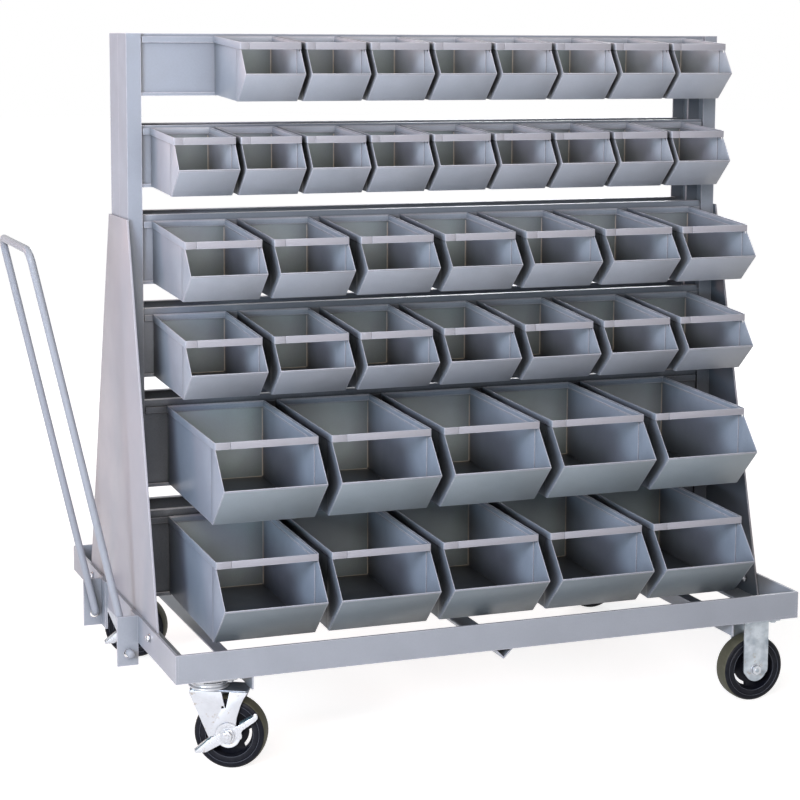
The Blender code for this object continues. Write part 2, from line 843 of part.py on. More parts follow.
def build_handle(root):
    """The tow handle on its pivot, leaning out as it stands in use."""
    handle = part("tow_handle", rod(handle_path(), ROD_RADIUS), PAINTED_LIGHT, root)
    handle.location = (PIVOT_X, 0, PIVOT_HEIGHT)
    handle.rotation_euler = (0, -HANDLE_LEAN, 0)


# Casters


def wheel():
    """A wheel about Y: rubber tread and side walls moulded on a hub with a boss and a pierced web."""
    half = TYRE_WIDTH / 2
    shoulder = half - TYRE_SHOULDER
    inner = RIM_RADIUS - RIM_THICKNESS
    half_rim = RIM_WIDTH / 2
    half_web = WEB_THICKNESS / 2
    half_boss = FORK_INSIDE / 2 - RUNNING_CLEARANCE
    bore = AXLE_RADIUS + BOLT_CLEARANCE
    near_side = [
        (WHEEL_RADIUS - TYRE_CROWN, shoulder),
        (WHEEL_RADIUS - TYRE_SHOULDER / 2, half - TYRE_SHOULDER / 4),
        (TYRE_FACE_RADIUS, half),
        (RIM_RADIUS, half_rim),
        (inner, half_rim),
        (inner, half_web),
        (BOSS_RADIUS, half_web),
        (BOSS_RADIUS, half_boss),
        (bore, half_boss),
    ]
    far_side = [(radius, -height) for radius, height in reversed(near_side)]
    blank = turned(far_side + [(WHEEL_RADIUS, 0)] + near_side, WHEEL_FACETS)
    outer = inner - RIM_THICKNESS / 2
    reach = SLOT_HALF_ANGLE
    slot_outline = arc((0, 0), outer, -reach, reach, 3) + arc((0, 0), SLOT_INNER, reach, -reach, 2)
    slot = plate(slot_outline, WEB_THICKNESS + 2 * OVERRUN, Matrix.Identity(4))
    slots = [
        copied(slot, Matrix.Rotation(math.tau * i / SLOT_COUNT, 4, "Z")) for i in range(SLOT_COUNT)
    ]
    return moved(cut(blank, *slots), LAID_ALONG_Y)


def axle(near, x):
    """An axle bolt along Y with a hexagon at each end, the near one set out past a brake where there is one."""
    far = FORK_OUTSIDE - WELD_OVERLAP
    shank = cylinder(AXLE_RADIUS, -far - AXLE_HEX_HEIGHT / 2, near + AXLE_HEX_HEIGHT / 2, BORE_FACETS)
    head = cylinder(AXLE_HEX_RADIUS, -far - AXLE_HEX_HEIGHT, -far, 6)
    nut = cylinder(AXLE_HEX_RADIUS, near, near + AXLE_HEX_HEIGHT, 6)
    return moved(fused(shank, head, nut), at(x, 0, WHEEL_RADIUS) @ LAID_ALONG_Y)


def plate_bolts():
    """The four bolts of a caster's top plate, their nuts on top of the base's ledges."""
    under = PLATE_UNDER + WELD_OVERLAP
    over = LEDGE_TOP + GAP
    shank = cylinder(BOLT_RADIUS, under - HEX_HEIGHT / 2, over + HEX_HEIGHT + BOLT_TIP, HOLE_FACETS)
    head = cylinder(HEX_RADIUS, under - HEX_HEIGHT, under, 6)
    nut = cylinder(HEX_RADIUS, over, over + HEX_HEIGHT, 6)
    bolt = fused(shank, head, nut)
    return [copied(bolt, at(x, y, 0)) for x, y in bolt_places(0, 0)]


def swivel_cheek():
    """One side of a swivel fork in front view, about the kingpin: wide at its top, notched, round at the axle."""
    trail = SWIVEL_TRAIL
    axle_height = WHEEL_RADIUS
    low = arc((trail, axle_height), CHEEK_ROUND, math.radians(245), math.radians(375), ARC_STEPS)
    notch_foot = CROWN_TOP - NOTCH_DEPTH
    outline = [(-CHEEK_FRONT, CROWN_TOP), (-CHEEK_FRONT, CROWN_UNDER)]
    outline.append((trail - CHEEK_HEEL, axle_height - CHEEK_HEEL_DROP))
    outline += low
    outline += [
        (trail + CHEEK_WAIST, axle_height + CHEEK_WAIST_RISE),
        (trail + CHEEK_BEND, axle_height + CHEEK_BEND_RISE),
        (trail + CHEEK_SHOULDER, axle_height + CHEEK_SHOULDER_RISE),
        (CHEEK_REAR, CROWN_TOP),
        (NOTCH_PLACE + NOTCH_HALF, CROWN_TOP),
        (NOTCH_PLACE, notch_foot),
        (NOTCH_PLACE - NOTCH_HALF, CROWN_TOP),
    ]
    return outline


def swivel_fork():
    """A swivel fork about its kingpin: lower race, crown, two cheeks and the axle bolt."""
    cheek = plate(swivel_cheek(), FORK_SHEET, FRONT_VIEW)
    offset = FORK_OUTSIDE - FORK_SHEET / 2
    cheeks = [copied(cheek, at(0, side * offset, 0)) for side in (-1, 1)]
    crown = box(
        (-CHEEK_FRONT + FORK_SHEET, -FORK_INSIDE / 2 - FORK_SHEET / 2, CROWN_UNDER),
        (CHEEK_REAR - FORK_SHEET, FORK_INSIDE / 2 + FORK_SHEET / 2, CROWN_TOP - GAP),
    )
    race = cylinder(LOWER_RACE_RADIUS, CROWN_UNDER + GAP, RACE_SPLIT - GAP, ROUND_FACETS)
    bore = cylinder(KINGPIN_RADIUS + RUNNING_CLEARANCE, CROWN_UNDER - OVERRUN, RACE_SPLIT + OVERRUN, BORE_FACETS)
    fork = cut(fused(crown, *cheeks, race), bore)
    near = FORK_OUTSIDE + 2 * GAP + BRAKE_PLATE + BRAKE_CAP_HEIGHT
    return fused(fork, axle(near, SWIVEL_TRAIL))


def top_plate():
    """A caster's top plate about its own middle."""
    half_length, half_depth = PLATE_LENGTH / 2, PLATE_DEPTH / 2
    return box((-half_length, -half_depth, PLATE_UNDER), (half_length, half_depth, PLATE_TOP))


def swivel_plate():
    """The swivel caster's top plate with its bolts, its upper race and the kingpin that holds the fork."""
    race = cylinder(UPPER_RACE_RADIUS, RACE_SPLIT, PLATE_UNDER + WELD_OVERLAP, ROUND_FACETS)
    head_top = CROWN_UNDER - GAP
    head_foot = head_top - KINGPIN_HEAD_HEIGHT
    pin = cylinder(KINGPIN_RADIUS, head_foot + GAP, RACE_SPLIT + GAP, BORE_FACETS)
    head = cylinder(KINGPIN_HEAD_RADIUS, head_foot, head_top, BORE_FACETS)
    return fused(top_plate(), race, pin, head, *plate_bolts())


def rigid_fork():
    """A rigid fork: top plate with its bolts, two straight cheeks round at the axle, and the axle bolt."""
    half = RIGID_CHEEK_WIDTH / 2
    low = arc((0, WHEEL_RADIUS), half, math.pi, math.tau, 2 * ARC_STEPS)
    cheek = plate([(-half, PLATE_UNDER + GAP)] + low + [(half, PLATE_UNDER + GAP)], FORK_SHEET, FRONT_VIEW)
    offset = FORK_OUTSIDE - FORK_SHEET / 2
    cheeks = [copied(cheek, at(0, side * offset, 0)) for side in (-1, 1)]
    return fused(top_plate(), *cheeks, *plate_bolts(), axle(FORK_OUTSIDE - WELD_OVERLAP, 0))


def brake_flange(start, end):
    """A flange along an arm's upper edge, from one share point to another, folded back towards the wheel."""
    first, last = Vector(start) * BRAKE_ARM, Vector(end) * BRAKE_ARM
    along = last - first
    flange = box((0, -BRAKE_PLATE / 2, -BRAKE_PLATE), (along.length, BRAKE_FLANGE, -GAP))
    slope = Matrix.Rotation(-math.atan2(along.y, along.x), 4, "Y")
    return moved(flange, at(first.x, 0, first.y) @ slope)


def brake_lever():
    """A side brake about the axle: hub disc, cap and two flanged arms. Its back face lies against the cheek."""
    disc = moved(cylinder(BRAKE_HUB_RADIUS, 0, BRAKE_PLATE, ROUND_FACETS), LAID_ALONG_Y)
    cap_top = BRAKE_PLATE + BRAKE_CAP_HEIGHT
    cap = moved(cylinder(BRAKE_CAP_RADIUS, BRAKE_PLATE / 2, cap_top, ROUND_FACETS), LAID_ALONG_Y)
    arms = []
    for shares in (LEFT_ARM_SHARES, RIGHT_ARM_SHARES):
        outline = [(across * BRAKE_ARM, up * BRAKE_ARM) for across, up in shares]
        arms.append(moved(plate(outline, BRAKE_PLATE, FRONT_VIEW), at(0, -BRAKE_PLATE / 2 - GAP, 0)))
    flanges = [brake_flange(*LEFT_FLANGE_SHARES), brake_flange(*RIGHT_FLANGE_SHARES)]
    lever = fused(disc, cap, *arms, *flanges)
    bore = moved(
        cylinder(AXLE_RADIUS + BOLT_CLEARANCE, -cap_top, 2 * cap_top, BORE_FACETS), LAID_ALONG_Y
    )
    return cut(lever, bore)


def build_swivel_caster(label, y, root):
    """A swivel caster with a side brake, trailing towards the right."""
    part(f"{label}_plate", swivel_plate(), PLATED, root, (-SWIVEL_PLACE_X, y, 0))
    holder = empty(f"{label}_kingpin", (-SWIVEL_PLACE_X, y, 0), root, SWIVEL_TURN)
    part(f"{label}_fork", swivel_fork(), PLATED, holder)
    part(f"{label}_wheel", wheel(), RUBBERED, holder, (SWIVEL_TRAIL, 0, WHEEL_RADIUS))
    lever_place = (SWIVEL_TRAIL, -FORK_OUTSIDE - GAP, WHEEL_RADIUS)
    part(f"{label}_brake_lever", brake_lever(), PLATED, holder, lever_place)


def build_rigid_caster(label, y, root):
    """A rigid caster that rolls along the cart's length."""
    holder = empty(f"{label}_mount", (RIGID_PLACE_X, y, 0), root)
    part(f"{label}_fork", rigid_fork(), PLATED, holder)
    part(f"{label}_wheel", wheel(), RUBBERED, holder, (0, 0, WHEEL_RADIUS))


def build_casters(root):
    """Swivel casters under the handle end, rigid ones under the other."""
    build_swivel_caster("swivel_caster_front", -CASTER_PLACE_Y, root)
    build_swivel_caster("swivel_caster_rear", CASTER_PLACE_Y, root)
    build_rigid_caster("rigid_caster_front", -CASTER_PLACE_Y, root)
    build_rigid_caster("rigid_caster_rear", CASTER_PLACE_Y, root)


def centre_on_floor(root):
    """Moves the cart so that its box stands on the floor with its middle over the origin."""
    bpy.context.view_layer.update()
    corners = [
        piece.matrix_world @ vertex.co
        for piece in CART.objects
        if piece.type == "MESH"
        for vertex in piece.data.vertices
    ]
    middle = [(min(p[i] for p in corners) + max(p[i] for p in corners)) / 2 for i in (0, 1)]
    floor = min(p[2] for p in corners)
    root.location = (-middle[0], -middle[1], -floor)


def main():
    """Builds the cart under one empty, then sets it on the floor about the origin."""
    root = empty("cart_root", (0, 0, 0), None)
    build_frame(root)
    build_bins(root)
    build_handle(root)
    build_casters(root)
    centre_on_floor(root)


main()
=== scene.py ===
"""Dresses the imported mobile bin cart: enamelled sheet steel, zinc plate, rubber wheels and studio light."""

import math
from typing import NamedTuple

import bmesh
import bpy
from mathutils import Matrix, Vector


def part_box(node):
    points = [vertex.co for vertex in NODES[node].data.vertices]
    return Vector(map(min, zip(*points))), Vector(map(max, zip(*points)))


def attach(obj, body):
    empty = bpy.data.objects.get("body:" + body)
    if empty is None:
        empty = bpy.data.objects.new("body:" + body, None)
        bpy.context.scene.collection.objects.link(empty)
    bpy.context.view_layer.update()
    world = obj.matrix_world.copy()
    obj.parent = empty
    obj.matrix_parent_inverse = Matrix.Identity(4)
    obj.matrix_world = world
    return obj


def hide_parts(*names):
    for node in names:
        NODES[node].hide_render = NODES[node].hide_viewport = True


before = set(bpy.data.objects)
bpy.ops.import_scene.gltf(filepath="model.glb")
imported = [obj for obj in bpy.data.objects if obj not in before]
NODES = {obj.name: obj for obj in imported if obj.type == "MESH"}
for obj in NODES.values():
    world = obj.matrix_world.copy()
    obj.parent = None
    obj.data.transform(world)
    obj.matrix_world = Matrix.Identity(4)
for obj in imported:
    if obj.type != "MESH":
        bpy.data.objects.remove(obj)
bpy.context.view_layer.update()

bl_info = {
    "name": "Mobile Bin Cart Dressing",
    "version": (1, 0, 0),
    "blender": (4, 5, 0),
    "location": "3D View > Sidebar > Bin Cart",
    "description": "Builds the visible sheet metal, wheels, handle and studio of a mobile bin cart",
    "category": "Object",
}

MM = 0.001


class BinForm(NamedTuple):
    """A bin size. Reaches run forward from the bin's back, heights up from its floor, in metres."""

    strap_width: float
    body_width: float
    back_height: float
    bar_height: float
    bar_reach: float
    nose_height: float
    nose_reach: float
    foot_reach: float


BIN_FORMS = {
    "small": BinForm(0.1205, 0.1150, 0.1222, 0.1110, 0.1832, 0.0517, 0.2137, 0.1587),
    "medium": BinForm(0.1490, 0.1448, 0.1315, 0.1127, 0.2473, 0.0524, 0.2851, 0.2282),
    "large": BinForm(0.1995, 0.1950, 0.1674, 0.1562, 0.3439, 0.0768, 0.4004, 0.3229),
}
HOOK_REACH = 0.0045
STRAP_HEIGHT = 0.0135
# The floor's rise from the foot to the back, in metres
FLOOR_RISES = {"small": 0.0085, "medium": 0.0100, "large": 0.0115}
# The enamel's tones and tints by size of bin, and on the fronts by row from the top. They hold part of the
# shade that the photograph shows, so they differ more than the paint on such bins does.
BODY_SHADE_TONES = {"small": 1.42, "medium": 1.16, "large": 0.96}
FLANK_SHADE_TONES = {"small": 1.4, "medium": 1.1, "large": 0.92}
BACK_SHADE_TONES = {"small": 1.1, "medium": 1.25, "large": 1.45}
FRONT_SHADE_TONES = (1.6, 1.47, 1.52, 1.28, 1.15, 0.82)
SIZE_SHADE_TINTS = {"small": (1, 1, 1), "medium": (0.95, 1.0, 1.04), "large": (0.94, 1.03, 1.12)}
BACK_SHADE_TINT = (0.92, 1.03, 0.95)
LOW_FRONT_SHADE_TINT = (0.94, 1.02, 1.0)
PLAIN = (1.0, 1.0, 1.0)
# The end plates' tone and tint. The right one holds the shade on its inner face and isn't another paint, and
# the left one's warm tint is painted warm light on its outer face.
END_PLATE_TONES = {"left": (1.2, (1.04, 0.98, 0.96)), "right": (0.4, (0.9, 1.0, 1.12))}
# The places of a bin's finishes in its list
SKIN_SLOT, EDGE_SLOT, STRAP_SLOT, FLOOR_SLOT, BACK_SLOT, SEAM_SLOT, FRONT_SLOT, FLANK_SLOT = range(8)

# The cart's middle plane, and its standing sizes in metres
MIDDLE_Y = 0.01465
MIDDLE_X = 0.097512
LEDGE_TOP = 0.1860
WHEEL_RADIUS = 0.0680
SWIVEL_TURN = -29
SWIVEL_TRAIL = 0.0420
CROWN_UNDER = 0.1485
CROWN_TOP = 0.1530
RACE_SPLIT = 0.1647
PLATE_UNDER = 0.1747
PLATE_TOP = 0.1807
FORK_INSIDE = 0.0480
FORK_SHEET = 0.0040
FORK_OUTSIDE = FORK_INSIDE / 2 + FORK_SHEET
PIVOT = (-0.569988, MIDDLE_Y, 0.1625)
HANDLE_LEAN = 12.8
HANDLE_LENGTH = 0.8070
HANDLE_SIDE = 0.1390
HANDLE_END = 0.1685
RIGID_WHEEL_TURN = -65
# An end plate's foot and top: their heights, their half depths and how far the plate is from the middle
GUSSET_FOOT = 0.1863
GUSSET_TOP = 0.9965
GUSSET_FOOT_HALF = 0.2960
GUSSET_TOP_HALF = 0.0760
GUSSET_REACH = 0.6427
GUSSET_BOLTS = ((-0.245, 0.2155), (0.245, 0.2155))

# Outline views: the side view's x runs forward and its thickness across, the plan view is seen from above,
# the end view's x runs across and its thickness forward.
SIDE_VIEW = Matrix(((0, 0, -1), (-1, 0, 0), (0, 1, 0))).to_4x4()
PLAN_VIEW = Matrix(((1, 0, 0), (0, -1, 0), (0, 0, 1))).to_4x4()
FRONT_VIEW = Matrix(((1, 0, 0), (0, 0, -1), (0, 1, 0))).to_4x4()
END_VIEW = Matrix(((0, 0, 1), (1, 0, 0), (0, 1, 0))).to_4x4()
STANDING = Matrix.Identity(4)
LAID_ALONG_Y = Matrix.Rotation(math.radians(90), 4, "X")

# The photograph's viewpoint: yaw, pitch and roll in radians, its place in metres, the lens in millimetres
CAMERA_TURNS = (0.3647, 0.1279, 0.0049)
CAMERA_PLACE = (-1.47789, -3.97685, 1.3490)
CAMERA_SHIFT = -0.12
LENS = 93.58

# Soft lamps: name, place, width, height, power in watts and colour
LAMP_TARGET = (0, 0, 0.8)
LAMPS = (
    ("key_left_rear", (-3.9, 3.1, 2.2), 1.2, 2.2, 78, (1.0, 0.56, 0.45)),
    ("window_left", (-3.8, -2.8, 1.3), 1.2, 1.2, 112, (0.82, 0.92, 1.0)),
    ("window_left_high", (-3.4, -3.6, 2.4), 1.2, 1.2, 50, (0.74, 0.70, 1.0)),
    ("fill_front", (-1.7, -4.5, 2.5), 2.4, 2.2, 142, (1.0, 0.90, 0.80)),
    ("fill_top", (-0.5, -0.5, 4.0), 2.0, 2.0, 30, (1.0, 0.95, 0.8)),
    ("fill_rear", (2.6, 4.4, 2.4), 2.0, 2.0, 70, (0.92, 0.96, 1.0)),
)
FLOOR_COLOUR = (0.62, 0.62, 0.62, 1)
FLOOR_GLOW = (0.78, 0.78, 0.78, 1)
GLOW_REACH = (1.2, 2.6)
SKY_LIGHT = (0.02, 0.022, 0.028, 1)
WHITE = (1, 1, 1, 1)
BLACK = (0, 0, 0, 1)
SKIN_OUTPUTS = ("Colour", "Roughness", "Height")


def at(x, y, z):
    """A move to a place."""
    return Matrix.Translation(Vector((x, y, z)))


def spin(degrees, axis):
    """A turn about an axis."""
    return Matrix.Rotation(math.radians(degrees), 4, axis)


def in_mm(points):
    """Points that are given in millimetres."""
    return [(x * MM, y * MM) for x, y in points]


# Shader groups


def new_group(name, inputs, outputs):
    """An empty shader group, its inputs' sockets and its output node. An input is a name and a default."""
    group = bpy.data.node_groups.new(name, "ShaderNodeTree")
    for label, default in inputs.items():
        kind = "NodeSocketColor" if isinstance(default, tuple) else "NodeSocketFloat"
        group.interface.new_socket(label, in_out="INPUT", socket_type=kind).default_value = default
    for label in outputs:
        kind = "NodeSocketColor" if label == "Colour" else "NodeSocketFloat"
        group.interface.new_socket(label, in_out="OUTPUT", socket_type=kind)
    return group, group.nodes.new("NodeGroupInput").outputs, group.nodes.new("NodeGroupOutput")


def feed(tree, node, values):
    """Sets a node's inputs to values, or links them to sockets."""
    for name, value in values.items():
        if isinstance(value, bpy.types.NodeSocket):
            tree.links.new(value, node.inputs[name])
        else:
            node.inputs[name].default_value = value


def put(tree, kind, values=None, **settings):
    """A node with its settings and inputs."""
    node = tree.nodes.new(kind)
    for name, value in settings.items():
        setattr(node, name, value)
    feed(tree, node, values or {})
    return node


def noise(tree, place, scale, detail, roughness=0.5):
    """A noise texture read in metres."""
    values = {"Vector": place, "Scale": scale, "Detail": detail, "Roughness": roughness}
    return put(tree, "ShaderNodeTexNoise", values).outputs["Fac"]


def ramp(tree, value, low, high, start=0.0, stop=1.0):
    """Maps a value from one range to another, clamped."""
    values = {"Value": value, "From Min": low, "From Max": high, "To Min": start, "To Max": stop}
    return put(tree, "ShaderNodeMapRange", values).outputs["Result"]


def mixed(tree, factor, first, second):
    """Two colours mixed by a factor."""
    return put(tree, "ShaderNodeMix", {0: factor, 6: first, 7: second}, data_type="RGBA").outputs[2]


def maths(tree, operation, first, second):
    """A maths node's result."""
    return put(tree, "ShaderNodeMath", {0: first, 1: second}, operation=operation).outputs[0]


def surface(tree, what):
    """A surface's Position or Normal."""
    return put(tree, "ShaderNodeNewGeometry").outputs[what]


def upward(tree, vector):
    """The part of a vector that points up."""
    return put(tree, "ShaderNodeSeparateXYZ", {0: vector}).outputs["Z"]


def make_enamel_film():
    """Sprayed enamel: soft clouds in its tone, pale edges that are partly worn paint and partly painted
    highlight, an orange-peel skin and a wandering roughness.
    """
    inputs = {"Colour": (0.3, 0.3, 0.3, 1), "Cloud Colour": (0.2, 0.2, 0.2, 1), "Cloud Scale": 9.0}
    inputs.update({"Cloud Amount": 0.5, "Roughness": 0.4, "Edge Wear And Highlight Colour": (0.6, 0.6, 0.66, 1)})
    inputs.update({"Edge Wear And Highlight Amount": 0.7, "Edge Reach": 0.0026})
    group, given, result = new_group("enamel_film", inputs, SKIN_OUTPUTS)
    place, normal = surface(group, "Position"), surface(group, "Normal")
    clouds = noise(group, place, given["Cloud Scale"], 3.0, 0.55)
    amount = maths(group, "MULTIPLY", ramp(group, clouds, 0.35, 0.68), given["Cloud Amount"])
    colour = mixed(group, amount, given["Colour"], given["Cloud Colour"])
    speck = ramp(group, noise(group, place, 260, 2), 0.42, 0.75)
    colour = mixed(group, maths(group, "MULTIPLY", speck, 0.2), colour, given["Cloud Colour"])
    # Pale edges, partly worn paint and partly painted highlight, where the rounded normal turns from the
    # face's.
    rounded = put(group, "ShaderNodeBevel", {"Radius": given["Edge Reach"]}, samples=6).outputs["Normal"]
    facing = put(group, "ShaderNodeVectorMath", {0: rounded, 1: normal}, operation="DOT_PRODUCT")
    edge = ramp(group, facing.outputs["Value"], 0.995, 0.9)
    patchy = ramp(group, noise(group, place, 65, 3), 0.3, 0.6, 0.45, 1.0)
    edge = maths(group, "MULTIPLY", edge, maths(group, "MULTIPLY", patchy, given["Edge Wear And Highlight Amount"]))
    colour = mixed(group, edge, colour, given["Edge Wear And Highlight Colour"])
    peel = maths(group, "MULTIPLY", noise(group, place, 520, 2), 0.25)
    height = maths(group, "ADD", peel, noise(group, place, 28, 2))
    rough = maths(group, "ADD", given["Roughness"], ramp(group, clouds, 0.3, 0.7, -0.05, 0.07))
    feed(group, result, {"Colour": colour, "Roughness": rough, "Height": height})
    return group


def make_corner_shade_and_grime():
    """Painted shade, with some soiling: darkens a colour where surfaces close in on each other, and half as
    much above a height.
    """
    inputs = {"Colour": (0.3, 0.3, 0.3, 1), "Shade And Grime Colour": (0.05, 0.05, 0.05, 1), "Reach": 0.03}
    inputs.update({"Amount": 0.5, "Full Below": 9.0, "Weak Above": 10.0})
    group, given, result = new_group("corner_shade_and_grime", inputs, ("Colour",))
    closeness = put(group, "ShaderNodeAmbientOcclusion", {"Distance": given["Reach"]}, samples=8)
    shut = ramp(group, closeness.outputs["AO"], 0.15, 0.9, 1.0, 0.0)
    shut = maths(group, "MULTIPLY", shut, given["Amount"])
    height = upward(group, surface(group, "Position"))
    weak = ramp(group, height, given["Full Below"], given["Weak Above"], 1.0, 0.5)
    shut = maths(group, "MULTIPLY", shut, weak)
    feed(group, result, {"Colour": mixed(group, shut, given["Colour"], given["Shade And Grime Colour"])})


def make_ledge_dust_and_highlight():
    """Pale dusting on faces that look up, which is also a painted highlight on them."""
    inputs = {"Colour": (0.3, 0.3, 0.3, 1), "Dust Colour": (0.6, 0.6, 0.6, 1), "Amount": 0.8}
    group, given, result = new_group("ledge_dust_and_highlight", inputs, ("Colour",))
    amount = ramp(group, upward(group, surface(group, "Normal")), 0.5, 0.9)
    amount = maths(group, "MULTIPLY", amount, given["Amount"])
    feed(group, result, {"Colour": mixed(group, amount, given["Colour"], given["Dust Colour"])})


def make_zinc_skin():
    """Bright zinc plate: cloudy tone, small dull spots and brown stains."""
    inputs = {"Colour": (0.7, 0.7, 0.72, 1), "Dull Colour": (0.3, 0.32, 0.36, 1), "Roughness": 0.25}
    inputs.update({"Cloud Amount": 0.5, "Stain Colour": (0.3, 0.22, 0.14, 1)})
    group, given, result = new_group("zinc_skin", inputs, SKIN_OUTPUTS)
    place = surface(group, "Position")
    cloud = ramp(group, noise(group, place, 42, 3), 0.4, 0.72)
    spots = ramp(group, noise(group, place, 330, 3), 0.64, 0.76)
    dull = maths(group, "MAXIMUM", maths(group, "MULTIPLY", cloud, given["Cloud Amount"]), spots)
    colour = mixed(group, dull, given["Colour"], given["Dull Colour"])
    stain = ramp(group, noise(group, place, 75, 4, 0.65), 0.6, 0.7, 0.0, 0.6)
    colour = mixed(group, stain, colour, given["Stain Colour"])
    rough = maths(group, "ADD", given["Roughness"], maths(group, "MULTIPLY", dull, 0.2))
    feed(group, result, {"Colour": colour, "Roughness": rough, "Height": noise(group, place, 190, 3)})
    return group


def make_rubber_skin():
    """Moulded rubber: fine grain, dusty scuffs that lighten it."""
    inputs = {"Colour": (0.02, 0.02, 0.02, 1), "Dust Colour": (0.12, 0.12, 0.11, 1), "Dust Amount": 0.4}
    group, given, result = new_group("rubber_skin", {**inputs, "Roughness": 0.5}, SKIN_OUTPUTS)
    place = surface(group, "Position")
    scuff = ramp(group, noise(group, place, 60, 5, 0.65), 0.45, 0.75)
    scuff = maths(group, "MULTIPLY", scuff, given["Dust Amount"])
    colour = mixed(group, scuff, given["Colour"], given["Dust Colour"])
    rough = maths(group, "ADD", given["Roughness"], maths(group, "MULTIPLY", scuff, 0.4))
    feed(group, result, {"Colour": colour, "Roughness": rough, "Height": noise(group, place, 900, 2)})
    return group


def finish_material(name, group, values, bump, metallic=0.0, sheen=0.5, shade_and_grime=None, dust_and_highlight=None):
    """A material fed by a skin group, with its own bump and, if asked, painted shade with soiling in corners
    and pale dusting with painted highlight on ledges.
    """
    material = bpy.data.materials.new(name)
    material.use_nodes = True
    tree = material.node_tree
    skin = put(tree, "ShaderNodeGroup", values, node_tree=group).outputs
    colour = skin["Colour"]
    for label, layer in (("corner_shade_and_grime", shade_and_grime), ("ledge_dust_and_highlight", dust_and_highlight)):
        if layer:
            over_it = {**layer, "Colour": colour}
            over_it = put(tree, "ShaderNodeGroup", over_it, node_tree=bpy.data.node_groups[label])
            colour = over_it.outputs["Colour"]
    strength, distance = bump
    bumps = {"Strength": strength, "Distance": distance, "Height": skin["Height"]}
    inputs = {"Metallic": metallic, "Specular IOR Level": sheen, "Base Color": colour}
    inputs["Roughness"] = skin["Roughness"]
    inputs["Normal"] = put(tree, "ShaderNodeBump", bumps).outputs["Normal"]
    feed(tree, tree.nodes["Principled BSDF"], inputs)
    material.diffuse_color = values["Colour"]


# Mesh helpers


class SheetWork:
    """Gathers bevelled sheet solids into one mesh. Material 0 is the skin and 1 the cut edges."""

    def __init__(self, name):
        self.name = name
        self.shape = bmesh.new()

    def add(self, outline, thickness, matrix, bevel=0.35 * MM, segments=2, skin=0, edge=1, slope=0.0):
        """A flat outline made a solid of the given thickness about its middle plane."""
        shape = bmesh.new()
        half = thickness / 2
        face = shape.faces.new([shape.verts.new((x, y, -half)) for x, y in outline])
        face.material_index = skin
        made = bmesh.ops.extrude_face_region(shape, geom=[face])
        top = [v for v in made["geom"] if isinstance(v, bmesh.types.BMVert)]
        bmesh.ops.translate(shape, vec=(0, 0, thickness), verts=top)
        bmesh.ops.recalc_face_normals(shape, faces=shape.faces)
        for side in shape.faces:
            flat = all(abs(abs(v.co.z) - half) < 1e-9 for v in side.verts) and abs(side.normal.z) > 0.9
            side.material_index = skin if flat else edge
        sharp = [e for e in shape.edges if len(e.link_faces) == 2 and e.calc_face_angle(0) > math.radians(25)]
        if bevel:
            bmesh.ops.bevel(
                shape,
                geom=sharp,
                offset=bevel,
                segments=segments,
                profile=0.5,
                affect="EDGES",
                clamp_overlap=True,
            )
        shape.transform(matrix)
        if slope:
            for v in shape.verts:
                v.co.z -= slope * v.co.y
        self.join(shape)

    def pierce(self, outlines, thickness, matrix, bevel=0.3 * MM, skin=0, edge=0):
        """A flat sheet with holes: the first outline is its edge and the others are its holes."""
        curve = bpy.data.curves.new("sheet", "CURVE")
        curve.dimensions = "2D"
        curve.fill_mode = "BOTH"
        curve.extrude = thickness / 2 - bevel
        curve.bevel_depth = bevel
        curve.bevel_resolution = 1
        curve.offset = -bevel
        for outline in outlines:
            spline = curve.splines.new("POLY")
            spline.points.add(len(outline) - 1)
            for point, (x, y) in zip(spline.points, outline):
                point.co = (x, y, 0, 1)
            spline.use_cyclic_u = True
        holder = bpy.data.objects.new("sheet", curve)
        bpy.context.scene.collection.objects.link(holder)
        bpy.context.view_layer.update()
        made = bpy.data.meshes.new_from_object(holder.evaluated_get(bpy.context.evaluated_depsgraph_get()))
        bpy.data.objects.remove(holder)
        bpy.data.curves.remove(curve)
        shape = bmesh.new()
        shape.from_mesh(made)
        bpy.data.meshes.remove(made)
        bmesh.ops.remove_doubles(shape, verts=shape.verts, dist=0.00002)
        for face in shape.faces:
            face.material_index = skin if abs(face.normal.z) > 0.9 else edge
        shape.transform(matrix)
        self.join(shape)

    def take(self, shape, matrix, skin):
        """Takes a solid of one material into the mesh."""
        for face in shape.faces:
            face.material_index = skin
        shape.transform(matrix)
        self.join(shape)

    def turn(self, profile, matrix, steps=48, skin=0):
        """A closed profile of (radius, height) points turned about Z."""
        self.take(turned(profile, steps), matrix, skin)

    def bar(self, radius, low, high, matrix, steps=32, skin=0, chamfer=0.6 * MM):
        """A round bar along Z with chamfered ends."""
        profile = [(0, low), (radius - chamfer, low), (radius, low + chamfer)]
        profile += [(radius, high - chamfer), (radius - chamfer, high), (0, high)]
        self.take(lathe(profile, steps), matrix, skin)

    def hexagon(self, radius, low, high, matrix, skin=0, turn=0):
        """A bolt's hexagon along Z, its free end chamfered."""
        corners = [math.radians(turn + 60 * i) for i in range(6)]
        outline = [(radius * math.cos(corner), radius * math.sin(corner)) for corner in corners]
        place = matrix @ at(0, 0, (low + high) / 2)
        self.add(outline, high - low, place, bevel=0.7 * MM, skin=skin, edge=skin)

    def join(self, shape):
        """Takes a solid into the mesh."""
        part = bpy.data.meshes.new("part")
        shape.to_mesh(part)
        shape.free()
        self.shape.from_mesh(part)
        bpy.data.meshes.remove(part)

    def mesh(self, materials, angle=40):
        """The finished mesh, smooth but for its sharp edges."""
        bmesh.ops.recalc_face_normals(self.shape, faces=self.shape.faces)
        mesh = bpy.data.meshes.new(self.name)
        self.shape.to_mesh(mesh)
        self.shape.free()
        for material in materials:
            mesh.materials.append(material)
        mesh.shade_smooth()
        mesh.set_sharp_from_angle(angle=math.radians(angle))
        return mesh


